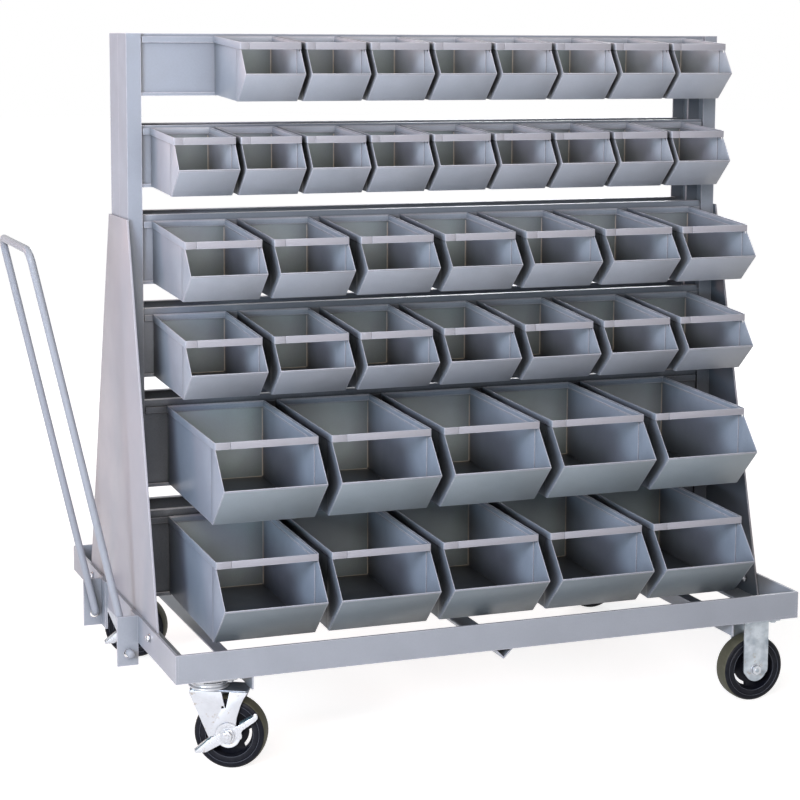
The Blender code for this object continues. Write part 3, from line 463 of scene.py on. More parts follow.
def arc(centre, radius, start, stop, steps):
    """Points along an arc, angles in degrees."""
    first, last = math.radians(start), math.radians(stop)
    return [
        (
            centre[0] + radius * math.cos(first + (last - first) * i / steps),
            centre[1] + radius * math.sin(first + (last - first) * i / steps),
        )
        for i in range(steps + 1)
    ]


def ring_of(shape, radius, height, steps):
    """A ring of vertices about Z."""
    turns = [math.tau * i / steps for i in range(steps)]
    return [shape.verts.new((radius * math.cos(turn), radius * math.sin(turn), height)) for turn in turns]


def turned(profile, steps):
    """A closed profile of (radius, height) points turned about Z, as a bmesh."""
    shape = bmesh.new()
    rings = [ring_of(shape, radius, height, steps) for radius, height in profile]
    for ring, following in zip(rings, rings[1:] + rings[:1]):
        for i in range(steps):
            k = (i + 1) % steps
            shape.faces.new((ring[i], ring[k], following[k], following[i]))
    bmesh.ops.recalc_face_normals(shape, faces=shape.faces)
    return shape


def lathe(profile, steps):
    """A profile of (radius, height) points from axis to axis turned about Z, as a bmesh."""
    shape = bmesh.new()
    first, last = [shape.verts.new((0, 0, profile[end][1])) for end in (0, -1)]
    rings = [ring_of(shape, radius, height, steps) for radius, height in profile[1:-1]]
    for i in range(steps):
        k = (i + 1) % steps
        shape.faces.new((first, rings[0][k], rings[0][i]))
        shape.faces.new((last, rings[-1][i], rings[-1][k]))
        for low, high in zip(rings, rings[1:]):
            shape.faces.new((low[i], low[k], high[k], high[i]))
    bmesh.ops.recalc_face_normals(shape, faces=shape.faces)
    return shape


def circle(centre, radius, steps=24):
    """Points round a circle."""
    return arc(centre, radius, 0, 360 * (steps - 1) / steps, steps - 1)


def bent_bar(points, radius, steps=28, chamfer=1.2 * MM):
    """A round bar along a path in the X = 0 plane, its ends chamfered, as a bmesh."""
    shape = bmesh.new()
    path = [Vector(point) for point in points]
    stations = []
    for i, point in enumerate(path):
        before, after = path[max(i - 1, 0)], path[min(i + 1, len(path) - 1)]
        stations.append((point, (after - before).normalized(), radius))
    ahead = stations[0][1]
    stations[0] = (path[0] + ahead * chamfer, ahead, radius)
    stations.insert(0, (path[0], ahead, radius - chamfer))
    ahead = stations[-1][1]
    stations[-1] = (path[-1] - ahead * chamfer, ahead, radius)
    stations.append((path[-1], ahead, radius - chamfer))
    side = Vector((1, 0, 0))
    rings = []
    for point, along, reach in stations:
        across = along.cross(side)
        ring = []
        for j in range(steps):
            turn = math.tau * j / steps
            ring.append(shape.verts.new(point + (side * math.cos(turn) + across * math.sin(turn)) * reach))
        rings.append(ring)
    for low, high in zip(rings, rings[1:]):
        for j in range(steps):
            k = (j + 1) % steps
            shape.faces.new((low[j], low[k], high[k], high[j]))
    shape.faces.new(list(reversed(rings[0])))
    shape.faces.new(rings[-1])
    bmesh.ops.recalc_face_normals(shape, faces=shape.faces)
    return shape


def show(name, data, body, nodes=(), matrix=None):
    """Adds a piece to the scene: it rides on a body and may stand for CAD nodes."""
    piece = bpy.data.objects.new(name, data)
    bpy.context.scene.collection.objects.link(piece)
    if matrix is not None:
        piece.matrix_world = matrix
    bpy.context.view_layer.update()
    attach(piece, body)
    if nodes:
        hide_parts(*nodes)
    return piece


# Bins


def strap_plan(form):
    """The strap from above: one strip bent round the rim, its ends a hair apart in the front bar."""
    half = form.strap_width / 2
    thick, radius, slit = 1.7 * MM, 2.6 * MM, 0.28 * MM
    seam = -half + form.strap_width * 0.152

    def bends(inset, r):
        low, high = -half + inset + r, half - inset - r
        back, front = inset + r, form.bar_reach - inset - r
        outline = [(seam - slit, form.bar_reach - inset)]
        for i, centre in enumerate(((low, front), (low, back), (high, back), (high, front))):
            outline += arc(centre, r, (90, 180, 270, 0)[i], (180, 270, 360, 90)[i], 3)
        return outline + [(seam + slit, form.bar_reach - inset)]

    return bends(0, radius) + bends(thick, radius - thick * 0.7)[::-1]


def rim_channel(form, inner, outer, back):
    """A U-shaped plan along the back and both sides of a bin, between two half widths."""
    front = form.bar_reach - 2.4 * MM
    inside = back + (outer - inner)
    outside_edge = [(-outer, front), (-outer, back), (outer, back), (outer, front)]
    return outside_edge + [(inner, front), (inner, inside), (-inner, inside), (-inner, front)]


def build_bin(label, form, materials):
    """One bin's sheet metal: floor, sides, back, lapped front with wings and hem, stepped rim and strap."""
    work = SheetWork(f"{label}_bin_sheet")
    sheet = 1.5 * MM
    half = form.body_width / 2
    slope = (form.bar_height - form.back_height) / form.bar_reach
    foot, nose = Vector((form.foot_reach, 0)), Vector((form.nose_reach, form.nose_height))
    along = (nose - foot).normalized()
    inward = Vector((-along.y, along.x))

    def rim(reach):
        return form.back_height + slope * reach

    wall_top = STRAP_HEIGHT - 0.4 * MM
    rise = FLOOR_RISES[label]
    side_end = form.foot_reach + 3 * MM
    side = [
        (sheet / 2, rise),
        (form.foot_reach - sheet, 0),
        (side_end, (side_end - form.foot_reach) * along.y / along.x + sheet),
        (side_end, rim(side_end) - wall_top),
        (sheet / 2, rim(0) - wall_top),
    ]
    lap = form.foot_reach - 9 * MM
    bar = form.bar_reach
    wing = [
        (lap, 0.2 * MM),
        (form.foot_reach, 0.2 * MM),
        tuple(nose),
        (bar - 1 * MM, rim(bar) - STRAP_HEIGHT - 0.6 * MM),
        (lap, rim(lap) - STRAP_HEIGHT + 1 * MM),
    ]
    notch = [(4.0, 0.2), (4.4, -6.0), (6.0, -6.6), (10.5, 0.2)]
    notch = [(bar - x * MM, rim(bar - x * MM) - STRAP_HEIGHT + y * MM) for x, y in notch]
    wing_sheet = 1.2 * MM
    for hand, outline in ((-1, wing), (1, wing[:4] + notch + wing[4:])):
        work.add(side, sheet, at(hand * (half - sheet / 2), 0, 0) @ SIDE_VIEW)
        work.add(outline, wing_sheet, at(hand * (half + wing_sheet / 2), 0, 0) @ SIDE_VIEW)
    floor = [(0.2 * MM, 0), (form.foot_reach, 0), (form.foot_reach, sheet), (0.2 * MM, sheet)]
    raised = at(0, 0, rise) @ SIDE_VIEW
    look = {"skin": FLOOR_SLOT, "edge": FLOOR_SLOT}
    work.add(floor, 2 * (half - sheet) + 0.1 * MM, raised, slope=-rise / form.foot_reach, **look)
    back = [(0, rise), (sheet, rise), (sheet, rim(0) - wall_top), (0, rim(0) - wall_top)]
    work.add(back, 2 * half, SIDE_VIEW, skin=BACK_SLOT, edge=BACK_SLOT)
    seam = 0.9 * MM
    look = {"skin": SEAM_SLOT, "edge": SEAM_SLOT}
    square = [(-seam, -seam), (seam, -seam), (seam, seam), (-seam, seam)]
    for hand in (-1, 1):
        corner = at(hand * (half - sheet - seam / 2), -sheet - seam / 2, (rim(0) - wall_top + rise) / 2)
        work.add(square, rim(0) - wall_top - rise - 5 * MM, corner, **look)
    near, far = sheet - seam, sheet + seam
    square = [(near, near), (far, near), (far, far), (near, far)]
    work.add(square, 2 * (half - sheet) - 2 * MM, raised, **look)
    front_width = 2 * (half + wing_sheet)
    panel = [tuple(p) for p in (foot, nose, nose + inward * sheet, foot + inward * sheet)]
    work.add(panel, front_width, SIDE_VIEW, bevel=0.6 * MM, edge=FRONT_SLOT, skin=FRONT_SLOT)
    hem_foot = nose - along * 3.4 * MM
    hem = [hem_foot - inward * 0.1 * MM, nose - inward * 0.1 * MM - along * 0.1 * MM]
    hem += [nose + inward * (sheet + 0.6 * MM) + along * 0.3 * MM, hem_foot + inward * (sheet + 0.6 * MM)]
    hem = [tuple(p) for p in hem]
    work.add(hem, front_width - 0.6 * MM, SIDE_VIEW, bevel=0.7 * MM, edge=EDGE_SLOT, skin=EDGE_SLOT)
    base = rim(0) - STRAP_HEIGHT
    strap_half = form.strap_width / 2
    ledge = rim_channel(form, half - sheet, strap_half - 1.8 * MM, 0.3 * MM)
    look = {"slope": slope, "skin": EDGE_SLOT}
    work.add(ledge, 1.3 * MM, at(0, 0, base + 1.6 * MM) @ PLAN_VIEW, edge=EDGE_SLOT, **look)
    jog = rim_channel(form, strap_half - 3.3 * MM, strap_half - 2.1 * MM, 2.1 * MM)
    height = STRAP_HEIGHT - 3.2 * MM
    work.add(jog, height, at(0, 0, base + 1 * MM + height / 2) @ PLAN_VIEW, edge=SKIN_SLOT, **look)
    place = at(0, 0, base + STRAP_HEIGHT / 2) @ PLAN_VIEW
    work.add(strap_plan(form), STRAP_HEIGHT, place, edge=STRAP_SLOT, bevel=0.4 * MM, **look)
    for face in work.shape.faces:
        if face.material_index == STRAP_SLOT and abs(face.normal.x) > 0.8:
            face.material_index = SKIN_SLOT
        # Faces that look out sideways take the flank enamel, a darker copy of the body's that is painted
        # shade.
        outward = face.normal.x * face.calc_center_median().x > 0
        if face.material_index == SKIN_SLOT and outward and abs(face.normal.x) > 0.8:
            face.material_index = FLANK_SLOT
    hook = in_mm([(0.7, 0), (-3.1, 0), (-3.1, -6.6), (-4.5, -6.6), (-4.5, 1.4), (0.7, 1.4)])
    hook = [(x, y + form.back_height - 1.4 * MM) for x, y in hook]
    work.add(hook, form.body_width - 20 * MM, SIDE_VIEW, edge=SKIN_SLOT)
    return work.mesh(materials)


# End plates and handle


def build_gusset(side, materials):
    """A tapered end plate in the cart's middle frame. Its bolts are a piece of their own."""
    work = SheetWork("gusset_sheet")
    foot, top = GUSSET_FOOT_HALF, GUSSET_TOP_HALF
    outline = [(-foot, GUSSET_FOOT), (foot, GUSSET_FOOT), (top, GUSSET_TOP), (-top, GUSSET_TOP)]
    work.add(outline, 4 * MM, at(side * GUSSET_REACH, 0, 0) @ SIDE_VIEW, bevel=0.5 * MM)
    return work.mesh(materials)


def build_gusset_bolts(side, materials):
    """The two bolts of an end plate: heads inside, washers, nuts and thread ends on the rail's outer face."""
    work = SheetWork("gusset_bolts")
    for y, z in GUSSET_BOLTS:
        place = at(0, y, z) @ spin(90 * side, "Y")
        work.hexagon(7.4 * MM, 0.6353, 0.6407, place, turn=12)
        work.bar(4 * MM, 0.6380, 0.6585, place, steps=20)
        work.bar(8.6 * MM, 0.6503, 0.6515, place, steps=28, chamfer=0.3 * MM)
        work.hexagon(7.4 * MM, 0.6512, 0.6560, place, turn=20)
    return work.mesh(materials, 30)


def build_handle(materials):
    """The tow handle's bent rod about its pivot, standing straight up."""
    bend, corner = 12 * MM, 26 * MM
    side, end, top = HANDLE_SIDE + 0.001, HANDLE_END, HANDLE_LENGTH
    half = [(end, 0)]
    half += arc((side + bend, bend), bend, 270, 180, 8)
    half += [(side, 0.25), (side, 0.5)]
    half += arc((side - corner, top - corner), corner, 0, 90, 12)
    points = [(0, y, z) for y, z in half]
    points += [(0, -y, z) for y, z in reversed(half)]
    work = SheetWork("handle_rod")
    work.join(bent_bar(points, sizes().rod_radius))
    return work.mesh(materials, 50)


# Casters


def build_wheel(materials):
    """A wheel about Y: crowned tread (1), black side walls and a dished, pierced hub (0)."""
    work = SheetWork("caster_wheel")
    wall = [(66.9, 15.2), (65.6, 17.4), (63.4, 19.1), (60.6, 19.9), (57.4, 19.9), (56.2, 18.9), (55.0, 18.9)]
    wall += [(54.0, 19.7), (48.5, 19.7), (45.6, 19.0), (44.2, 17.2), (43.3, 14.0), (42.6, 4.2)]
    tread = [(67.6, 10), (68.0, 4), (68.0, -4), (67.6, -10)]
    shape = turned(in_mm(wall[::-1] + tread + [(r, -z) for r, z in wall]), 72)
    for face in shape.faces:
        middle = face.calc_center_median()
        on_tread = math.hypot(middle.x, middle.y) > 64.3 * MM and abs(middle.z) < 17.6 * MM
        face.material_index = 1 if on_tread else 0
    shape.transform(LAID_ALONG_Y)
    work.join(shape)
    web = [circle((0, 0), 43 * MM, 64), circle((0, 0), 12 * MM, 24)]
    for middle in (-19, 161):
        outer = arc((0, 0), 39.5 * MM, middle - 30, middle + 30, 12)
        web.append(outer + arc((0, 0), 33.5 * MM, middle + 26, middle - 26, 10))
    work.pierce(web, 9 * MM, LAID_ALONG_Y, bevel=1 * MM)
    # The side walls' ribs take the third material: pale rings that are a painted highlight.
    for radius, face in ((56.4, 19.6), (45.6, 19.0)):
        for side in (-1, 1):
            rib = [(radius - 0.6, side * (face - 0.5)), (radius - 0.3, side * (face + 0.45))]
            rib += [(radius + 0.3, side * (face + 0.45)), (radius + 0.6, side * (face - 0.5))]
            work.turn(in_mm(rib), LAID_ALONG_Y, 72, skin=2)
    boss = [(5.4, 23.3), (13.4, 23.3), (14.4, 22.3), (15.2, 6.0), (18.0, 3.6), (18.0, -3.6), (15.2, -6.0)]
    boss += [(14.4, -22.3), (13.4, -23.3), (5.4, -23.3)]
    work.turn(in_mm(boss), LAID_ALONG_Y, 40)
    return work.mesh(materials, 32)


def plate_hardware(work):
    """The four bolts of a caster's plate, heads below and nuts above the base's ledge."""
    for x in (-0.028, 0.028):
        for y in (-0.042, 0.042):
            place = at(x, y, 0)
            work.hexagon(7.3 * MM, PLATE_UNDER - 0.0053, PLATE_UNDER + 0.0003, place, turn=30 * (x > 0) + 10)
            work.bar(4 * MM, PLATE_UNDER, LEDGE_TOP + 0.0087, place, steps=20)
            work.hexagon(7.3 * MM, LEDGE_TOP + 0.0005, LEDGE_TOP + 0.0057, place, turn=40 * (y > 0) + 5)


def add_plate(work, x, y, corner):
    """A caster's top plate. Its round corners turn about the four places at x and y from the middle."""
    outline = []
    for i, centre in enumerate(((x, y), (-x, y), (-x, -y), (x, -y))):
        outline += arc(centre, corner, 90 * i, 90 * i + 90, 4)
    work.add(outline, 6 * MM, at(0, 0, (PLATE_TOP + PLATE_UNDER) / 2), bevel=0.6 * MM, edge=0)


def build_swivel_plate(materials):
    """The swivel caster's plate about its kingpin: bolted plate, upper race and kingpin head."""
    work = SheetWork("swivel_plate")
    add_plate(work, 0.035, 0.050, 5 * MM)
    under, split = PLATE_UNDER + 0.0003, RACE_SPLIT
    race = [(6.4 * MM, under), (39.4 * MM, under), (39.9 * MM, under - 2 * MM), (39.6 * MM, split + 4.6 * MM)]
    race += [(37.6 * MM, split + 3.4 * MM), (37.4 * MM, split + 2.6 * MM), (39.2 * MM, split + 1.8 * MM)]
    race += [(39.3 * MM, split + 0.7 * MM), (38.6 * MM, split + 0.1 * MM), (6.4 * MM, split + 0.1 * MM)]
    work.turn(race, STANDING, 64)
    work.bar(5.9 * MM, CROWN_UNDER - 0.002, under + 0.002, STANDING, steps=28)
    work.bar(9.4 * MM, CROWN_UNDER - 0.0042, CROWN_UNDER - 0.0004, STANDING, chamfer=1.2 * MM)
    plate_hardware(work)
    return work.mesh(materials, 30)


def swivel_cheek():
    """The outline of a swivel fork's cheek in front view, about the kingpin."""
    trail, axle, top = SWIVEL_TRAIL, WHEEL_RADIUS, CROWN_UNDER + 0.001
    outline = [(-0.0325, top), (-0.0315, top - 0.006)]
    outline += [(trail - 0.0375, axle - 0.006), (trail - 0.0350, axle - 0.0115)]
    outline += arc((trail, axle), 0.0228, 245, 375, 12)
    rear = [(0.0160, 0.0140), (0.0145, 0.0210), (0.0160, 0.0330), (0.0193, 0.0440), (0.0232, 0.0570)]
    outline += [(trail + x, axle + y) for x, y in rear + [(0.0290, 0.0700)]]
    outline += [(0.0785, top), (0.0447, top)]
    outline += arc((0.0368, CROWN_TOP - 0.0320), 0.0013, 330, 210, 3)
    return outline + [(0.0290, top)]


def build_swivel_fork(materials):
    """A swivel fork about its kingpin, trailing along +X: crown, lower race, two cheeks and the axle bolt."""
    work = SheetWork("swivel_fork")
    offset = FORK_OUTSIDE - FORK_SHEET / 2
    outlines = [swivel_cheek(), circle((SWIVEL_TRAIL - 0.0105, WHEEL_RADIUS + 0.0520), 2.6 * MM, 16)]
    for side in (-1, 1):
        work.pierce(outlines, FORK_SHEET, at(0, side * offset, 0) @ FRONT_VIEW, bevel=0.5 * MM)
    half, tail, nose = FORK_OUTSIDE - 0.2 * MM, -0.0245, 0.0725
    crown = arc((tail, -half + 0.0080), 0.0080, 180, 270, 5)
    crown += arc((nose, -half + 0.0060), 0.0060, 270, 360, 4) + arc((nose, half - 0.0060), 0.0060, 0, 90, 4)
    crown += arc((tail, half - 0.0080), 0.0080, 90, 180, 5)
    thickness = CROWN_TOP - CROWN_UNDER
    place = at(0, 0, CROWN_UNDER + thickness / 2)
    work.pierce([crown, circle((0, 0), 6.6 * MM, 24)], thickness, place, bevel=1.9 * MM, skin=1, edge=1)
    base, split = (CROWN_TOP - 0.0004) / MM, RACE_SPLIT / MM
    race = [(6.6, base), (37.5, base), (38.6, base + 1.5), (38.2, base + 3.4), (34.5, base + 5.6)]
    race += [(33.8, split - 3.6), (35.6, split - 2.4), (36.0, split - 1.2), (35.4, split - 0.4)]
    work.turn(in_mm(race + [(6.6, split - 0.4)]), STANDING, 64)
    place = at(SWIVEL_TRAIL, 0, WHEEL_RADIUS) @ LAID_ALONG_Y
    near = FORK_OUTSIDE + 0.0081
    work.bar(4.9 * MM, -FORK_OUTSIDE - 0.001, near + 0.0062, place, steps=24, chamfer=1 * MM)
    work.hexagon(9.9 * MM, -FORK_OUTSIDE - 0.0060, -FORK_OUTSIDE, place, turn=8)
    work.hexagon(9.9 * MM, near, near + 0.0044, place, turn=17)
    return work.mesh(materials, 30)


def build_brake_lever(materials):
    """A side brake about the axle: ribbed hub disc, cap and two arms with flanges rolled back on top."""
    work = SheetWork("brake_lever")
    disc = [(5.4, 0.05), (23.0, 0.05), (23.6, 0.6), (23.6, 2.4), (22.6, 3.2), (20.6, 3.2), (19.6, 2.7)]
    disc += [(15.6, 2.7), (14.8, 3.4), (13.0, 3.6), (12.6, 6.6), (11.6, 7.3), (5.4, 7.3)]
    work.turn(in_mm(disc), LAID_ALONG_Y, 56)
    for i in range(12):
        spoke = LAID_ALONG_Y @ spin(30 * i + 11, "Z") @ at(0.0172, 0, 0)
        work.bar(1.0 * MM, 2.4 * MM, 3.3 * MM, spoke, steps=10, chamfer=0.4 * MM)
    left = [(-0.006, 0.006), (-0.0210, 0.0000), (-0.0330, -0.0075), (-0.0590, -0.0310)]
    left += [(-0.0640, -0.0345), (-0.0610, -0.0372), (-0.0420, -0.0345), (-0.0290, -0.0270)]
    left += [(-0.0170, -0.0200), (-0.0040, -0.0120)]
    right = [(0.004, 0.013), (0.0150, 0.0170), (0.0260, 0.0235), (0.0370, 0.0300), (0.0468, 0.0362)]
    right += [(0.0485, 0.0425), (0.0510, 0.0448), (0.0540, 0.0430), (0.0560, 0.0390), (0.0560, 0.0350)]
    right += [(0.0530, 0.0305), (0.0490, 0.0270), (0.0360, 0.0175), (0.0270, 0.0105), (0.0250, 0.0060)]
    right += [(0.0265, 0.0010), (0.0262, -0.0040), (0.0235, -0.0070), (0.0060, -0.0060)]
    for outline in (left, right):
        work.add(outline, 2.9 * MM, at(0, -0.0016, 0) @ FRONT_VIEW, bevel=0.8 * MM, segments=3, edge=0)
    fold = in_mm([(3.0, -1.2), (3.0, 0.2), (-2.0, 4.7), (-3.2, 3.5), (0.3, 0.1), (0.3, -1.2)])
    for start, end in (((-0.0625, -0.0335), (-0.0300, -0.0058)), ((0.0225, 0.0214), (0.0474, 0.0366))):
        first, along = Vector(start), Vector(end) - Vector(start)
        slope = Matrix.Rotation(-math.atan2(along.y, along.x), 4, "Y")
        place = at(first.x, 0, first.y) @ slope @ at(along.length / 2, 0, 0) @ SIDE_VIEW
        work.add(fold, along.length, place, bevel=0.5 * MM, skin=1, edge=1)
    return work.mesh(materials, 30)


def build_rigid_fork(materials):
    """A rigid fork: two straight cheeks folded down from its plate, their bolts and the axle bolt."""
    work = SheetWork("rigid_fork")
    add_plate(work, 0.036, 0.051, 4 * MM)
    half, top = 0.0279, PLATE_UNDER + 0.0005
    low = arc((0, WHEEL_RADIUS), 0.0243, 212, 328, 12)
    cheek = [(-half, top), (-half, WHEEL_RADIUS - 0.0010), (-half + 0.0012, WHEEL_RADIUS - 0.0050)] + low
    cheek += [(half - 0.0012, WHEEL_RADIUS - 0.0050), (half, WHEEL_RADIUS - 0.0010), (half, top)]
    fold = 5 * MM
    for side in (-1, 1):
        offset = side * (FORK_OUTSIDE - FORK_SHEET / 2)
        work.add(cheek, FORK_SHEET, at(0, offset, 0) @ FRONT_VIEW, bevel=0.6 * MM, edge=0)
        curve = [(side * (FORK_OUTSIDE + fold + x), -(fold + y)) for x, y in arc((0, 0), fold, 180, 270, 5)]
        shape = [(side * (FORK_OUTSIDE - 1 * MM), -6 * MM), (side * (FORK_OUTSIDE - 1 * MM), 0.3 * MM)]
        shape += [(side * (FORK_OUTSIDE + 4.6 * MM), 0.3 * MM)] + curve[::-1]
        work.add(shape, 2 * half - 1 * MM, at(0, 0, PLATE_UNDER) @ END_VIEW, bevel=0, edge=0)
    place = at(0, 0, WHEEL_RADIUS) @ LAID_ALONG_Y
    near = FORK_OUTSIDE
    work.bar(4.9 * MM, -near - 0.001, near + 0.0065, place, steps=24, chamfer=1 * MM)
    work.bar(12.2 * MM, near - 0.0002, near + 0.0012, place, steps=32, skin=1, chamfer=0.3 * MM)
    work.hexagon(10.6 * MM, near + 0.001, near + 0.0058, place, turn=24, skin=1)
    work.hexagon(9.8 * MM, -near - 0.0058, -near, place, turn=3)
    plate_hardware(work)
    return work.mesh(materials, 30)


# Properties


def colour_setting(name, description, default):
    """A colour that a user may change."""
    default = (*default, 1.0)
    look = {"subtype": "COLOR", "size": 4, "default": default, "min": 0, "max": 1}
    return bpy.props.FloatVectorProperty(name=name, description=description, **look)


def length_setting(name, description, default, low, high):
    """A length in metres that a user may change."""
    span = {"subtype": "DISTANCE", "unit": "LENGTH", "default": default, "min": low, "max": high}
    return bpy.props.FloatProperty(name=name, description=description, **span)


class BinCartColours(bpy.types.PropertyGroup):
    """Finishes that a user may change."""

    enamel: colour_setting("Enamel", "Colour of the sprayed enamel", (0.300, 0.328, 0.378))
    enamel_cloud: colour_setting("Enamel cloud", "Tone that the enamel drifts to", (0.225, 0.255, 0.300))
    # The strap colour also makes the pale edges and ledge tops, which are partly painted highlight.
    strap: colour_setting("Strap enamel", "Colour of straps and thin edges, worn pale", (0.43, 0.435, 0.49))
    zinc: colour_setting("Zinc", "Colour of the zinc plate", (0.585, 0.61, 0.655))
    rubber: colour_setting("Rubber", "Colour of the wheels' side walls", (0.006, 0.007, 0.012))


class BinCartSizes(bpy.types.PropertyGroup):
    """Sizes of the dressing that a user may change."""

    edge_round: length_setting("Edge rounding", "Radius on the frame's edges", 0.0007, 0.0001, 0.002)
    rod_radius: length_setting("Handle radius", "Radius of the tow handle's rod", 0.0075, 0.005, 0.01)


def colours():
    """The scene's finish settings."""
    return bpy.context.scene.bin_cart_colours


def sizes():
    """The scene's size settings."""
    return bpy.context.scene.bin_cart_sizes


def toned(colour, factor, tint=(1, 1, 1)):
    """A colour made lighter or darker, with a tint."""
    return tuple(min(1.0, colour[i] * factor * tint[i]) for i in range(3)) + (1.0,)


def shade_and_dirt(colour, reach, amount):
    """Values for painted shade and soiling in corners: its colour, how far it reaches and how thick it is."""
    return {"Shade And Grime Colour": colour, "Reach": reach, "Amount": amount}


def finishes(*names):
    """Materials by name."""
    return [bpy.data.materials[name] for name in names]


def over(node):
    """A move to the middle of a node's box as seen from above."""
    low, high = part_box(node)
    return at((low[0] + high[0]) / 2, (low[1] + high[1]) / 2, 0)


# Operators


class BINCART_OT_materials(bpy.types.Operator):
    """Builds the shader groups and the finishes"""

    bl_idname = "bincart.materials"
    bl_label = "Finishes"

    def execute(self, context):
        film, zinc, rubber = make_enamel_film(), make_zinc_skin(), make_rubber_skin()
        make_corner_shade_and_grime()
        make_ledge_dust_and_highlight()
        hue = colours()
        enamel, cloud, strap = tuple(hue.enamel), tuple(hue.enamel_cloud), tuple(hue.strap)
        # Painted shade with some soiling, by how close surfaces are: inside the bins, low on their backs, in
        # the gaps between their sides, in creases, inside the frame, on the racks below 0.62 m and round the
        # zinc's contact lines.
        shade_and_grime = shade_and_dirt(toned(cloud, 0.12), 0.07, 0.88)
        back_wall_shade = shade_and_dirt(toned(cloud, 0.14, (1.05, 1.05, 0.9)), 0.06, 0.85)
        gap_shade = shade_and_dirt(toned(cloud, 0.04), 0.075, 0.95)
        crease_shade_and_grime = shade_and_dirt(toned(cloud, 0.08), 0.008, 0.95)
        frame_shade_and_grime = shade_and_dirt(toned(cloud, 0.2, (0.8, 1.05, 1.1)), 0.07, 0.75)
        shaded = shade_and_dirt(toned(cloud, 0.05), 0.15, 1.0)
        shaded.update({"Full Below": 0.62, "Weak Above": 0.8})
        zinc_contact_shade_and_grime = shade_and_dirt(toned(hue.zinc, 0.12), 0.006, 0.8)
        # Pale dusting on the racks' ledge tops, which is also a painted highlight there.
        dust_and_highlight = {"Dust Colour": toned(strap, 1.75), "Amount": 0.85}

        def enamelled(name, colour, clouded, amount, rough, shade_and_grime_layer, wear_and_highlight=0.7, dusty=None):
            values = {"Colour": colour, "Cloud Colour": clouded, "Cloud Amount": amount, "Roughness": rough}
            values.update({"Edge Wear And Highlight Colour": toned(strap, 1.6), "Edge Wear And Highlight Amount": wear_and_highlight})
            finish_material(name, film, values, (0.12, 0.0006), sheen=0.3, shade_and_grime=shade_and_grime_layer, dust_and_highlight=dusty)

        # The bins' bodies, flanks, fronts and backs are lighter and darker copies of one enamel: painted
        # light and shade by size and, on the fronts, by row.
        for size, tone in BODY_SHADE_TONES.items():
            body, clouded = toned(enamel, 1.1 * tone, SIZE_SHADE_TINTS[size]), toned(cloud, tone, SIZE_SHADE_TINTS[size])
            enamelled(f"bin_enamel_{size}", body, clouded, 0.5, 0.36, shade_and_grime)
        for size, tone in FLANK_SHADE_TONES.items():
            body, clouded = toned(enamel, tone, SIZE_SHADE_TINTS[size]), toned(cloud, tone, SIZE_SHADE_TINTS[size])
            enamelled(f"bin_flank_{size}", body, clouded, 0.6, 0.36, gap_shade, 0.85)
        for i, tone in enumerate(FRONT_SHADE_TONES):
            tint = LOW_FRONT_SHADE_TINT if i > 3 else PLAIN
            panel, clouded = toned(enamel, tone, tint), toned(cloud, tone, tint)
            enamelled(f"bin_front_{i + 1}", panel, clouded, 0.5, 0.36, None, 0.85)
        # Thin cut edges, hems and rim ledges are pale: partly worn paint, partly painted highlight.
        enamelled("bin_edge", toned(strap, 1.0), enamel, 0.35, 0.34, crease_shade_and_grime, 0.6)
        enamelled("bin_strap", toned(strap, 0.94), enamel, 0.25, 0.36, None, 0.5)
        # The bins' floors are a dark copy of the enamel: painted shade.
        enamelled("bin_floor", toned(cloud, 0.45, (0.95, 1, 1.1)), toned(cloud, 0.36), 0.4, 0.34, shade_and_grime, 0.0)
        for size, tone in BACK_SHADE_TONES.items():
            body, clouded = toned(enamel, tone, BACK_SHADE_TINT), toned(enamel, tone * 0.73)
            enamelled(f"bin_back_{size}", body, clouded, 0.6, 0.4, back_wall_shade, 0.0)
        # The corner seams are real beads; their cream colour is a painted highlight.
        enamelled("bin_seam", (0.50, 0.45, 0.38, 1), (0.30, 0.26, 0.2, 1), 0.6, 0.5, None, 0.0)
        enamelled("frame_enamel", toned(enamel, 1.25), enamel, 0.4, 0.38, frame_shade_and_grime, 0.8)
        rack = toned(enamel, 1.28, (0.97, 1.0, 1.04))
        enamelled("rack_enamel", rack, enamel, 0.4, 0.38, shaded, 0.9, dust_and_highlight)
        enamelled("handle_enamel", toned(enamel, 1.2), toned(enamel, 1.0), 0.3, 0.35, None, 0.0)
        # The right end plate's low tone is painted shade and the left one's warm tint is painted warm light.
        for label, (tone, tint) in END_PLATE_TONES.items():
            plate, clouded = toned(enamel, tone, tint), toned(enamel, tone * 0.9)
            enamelled(f"gusset_enamel_{label}", plate, clouded, 0.4, 0.38, frame_shade_and_grime, 0.8)
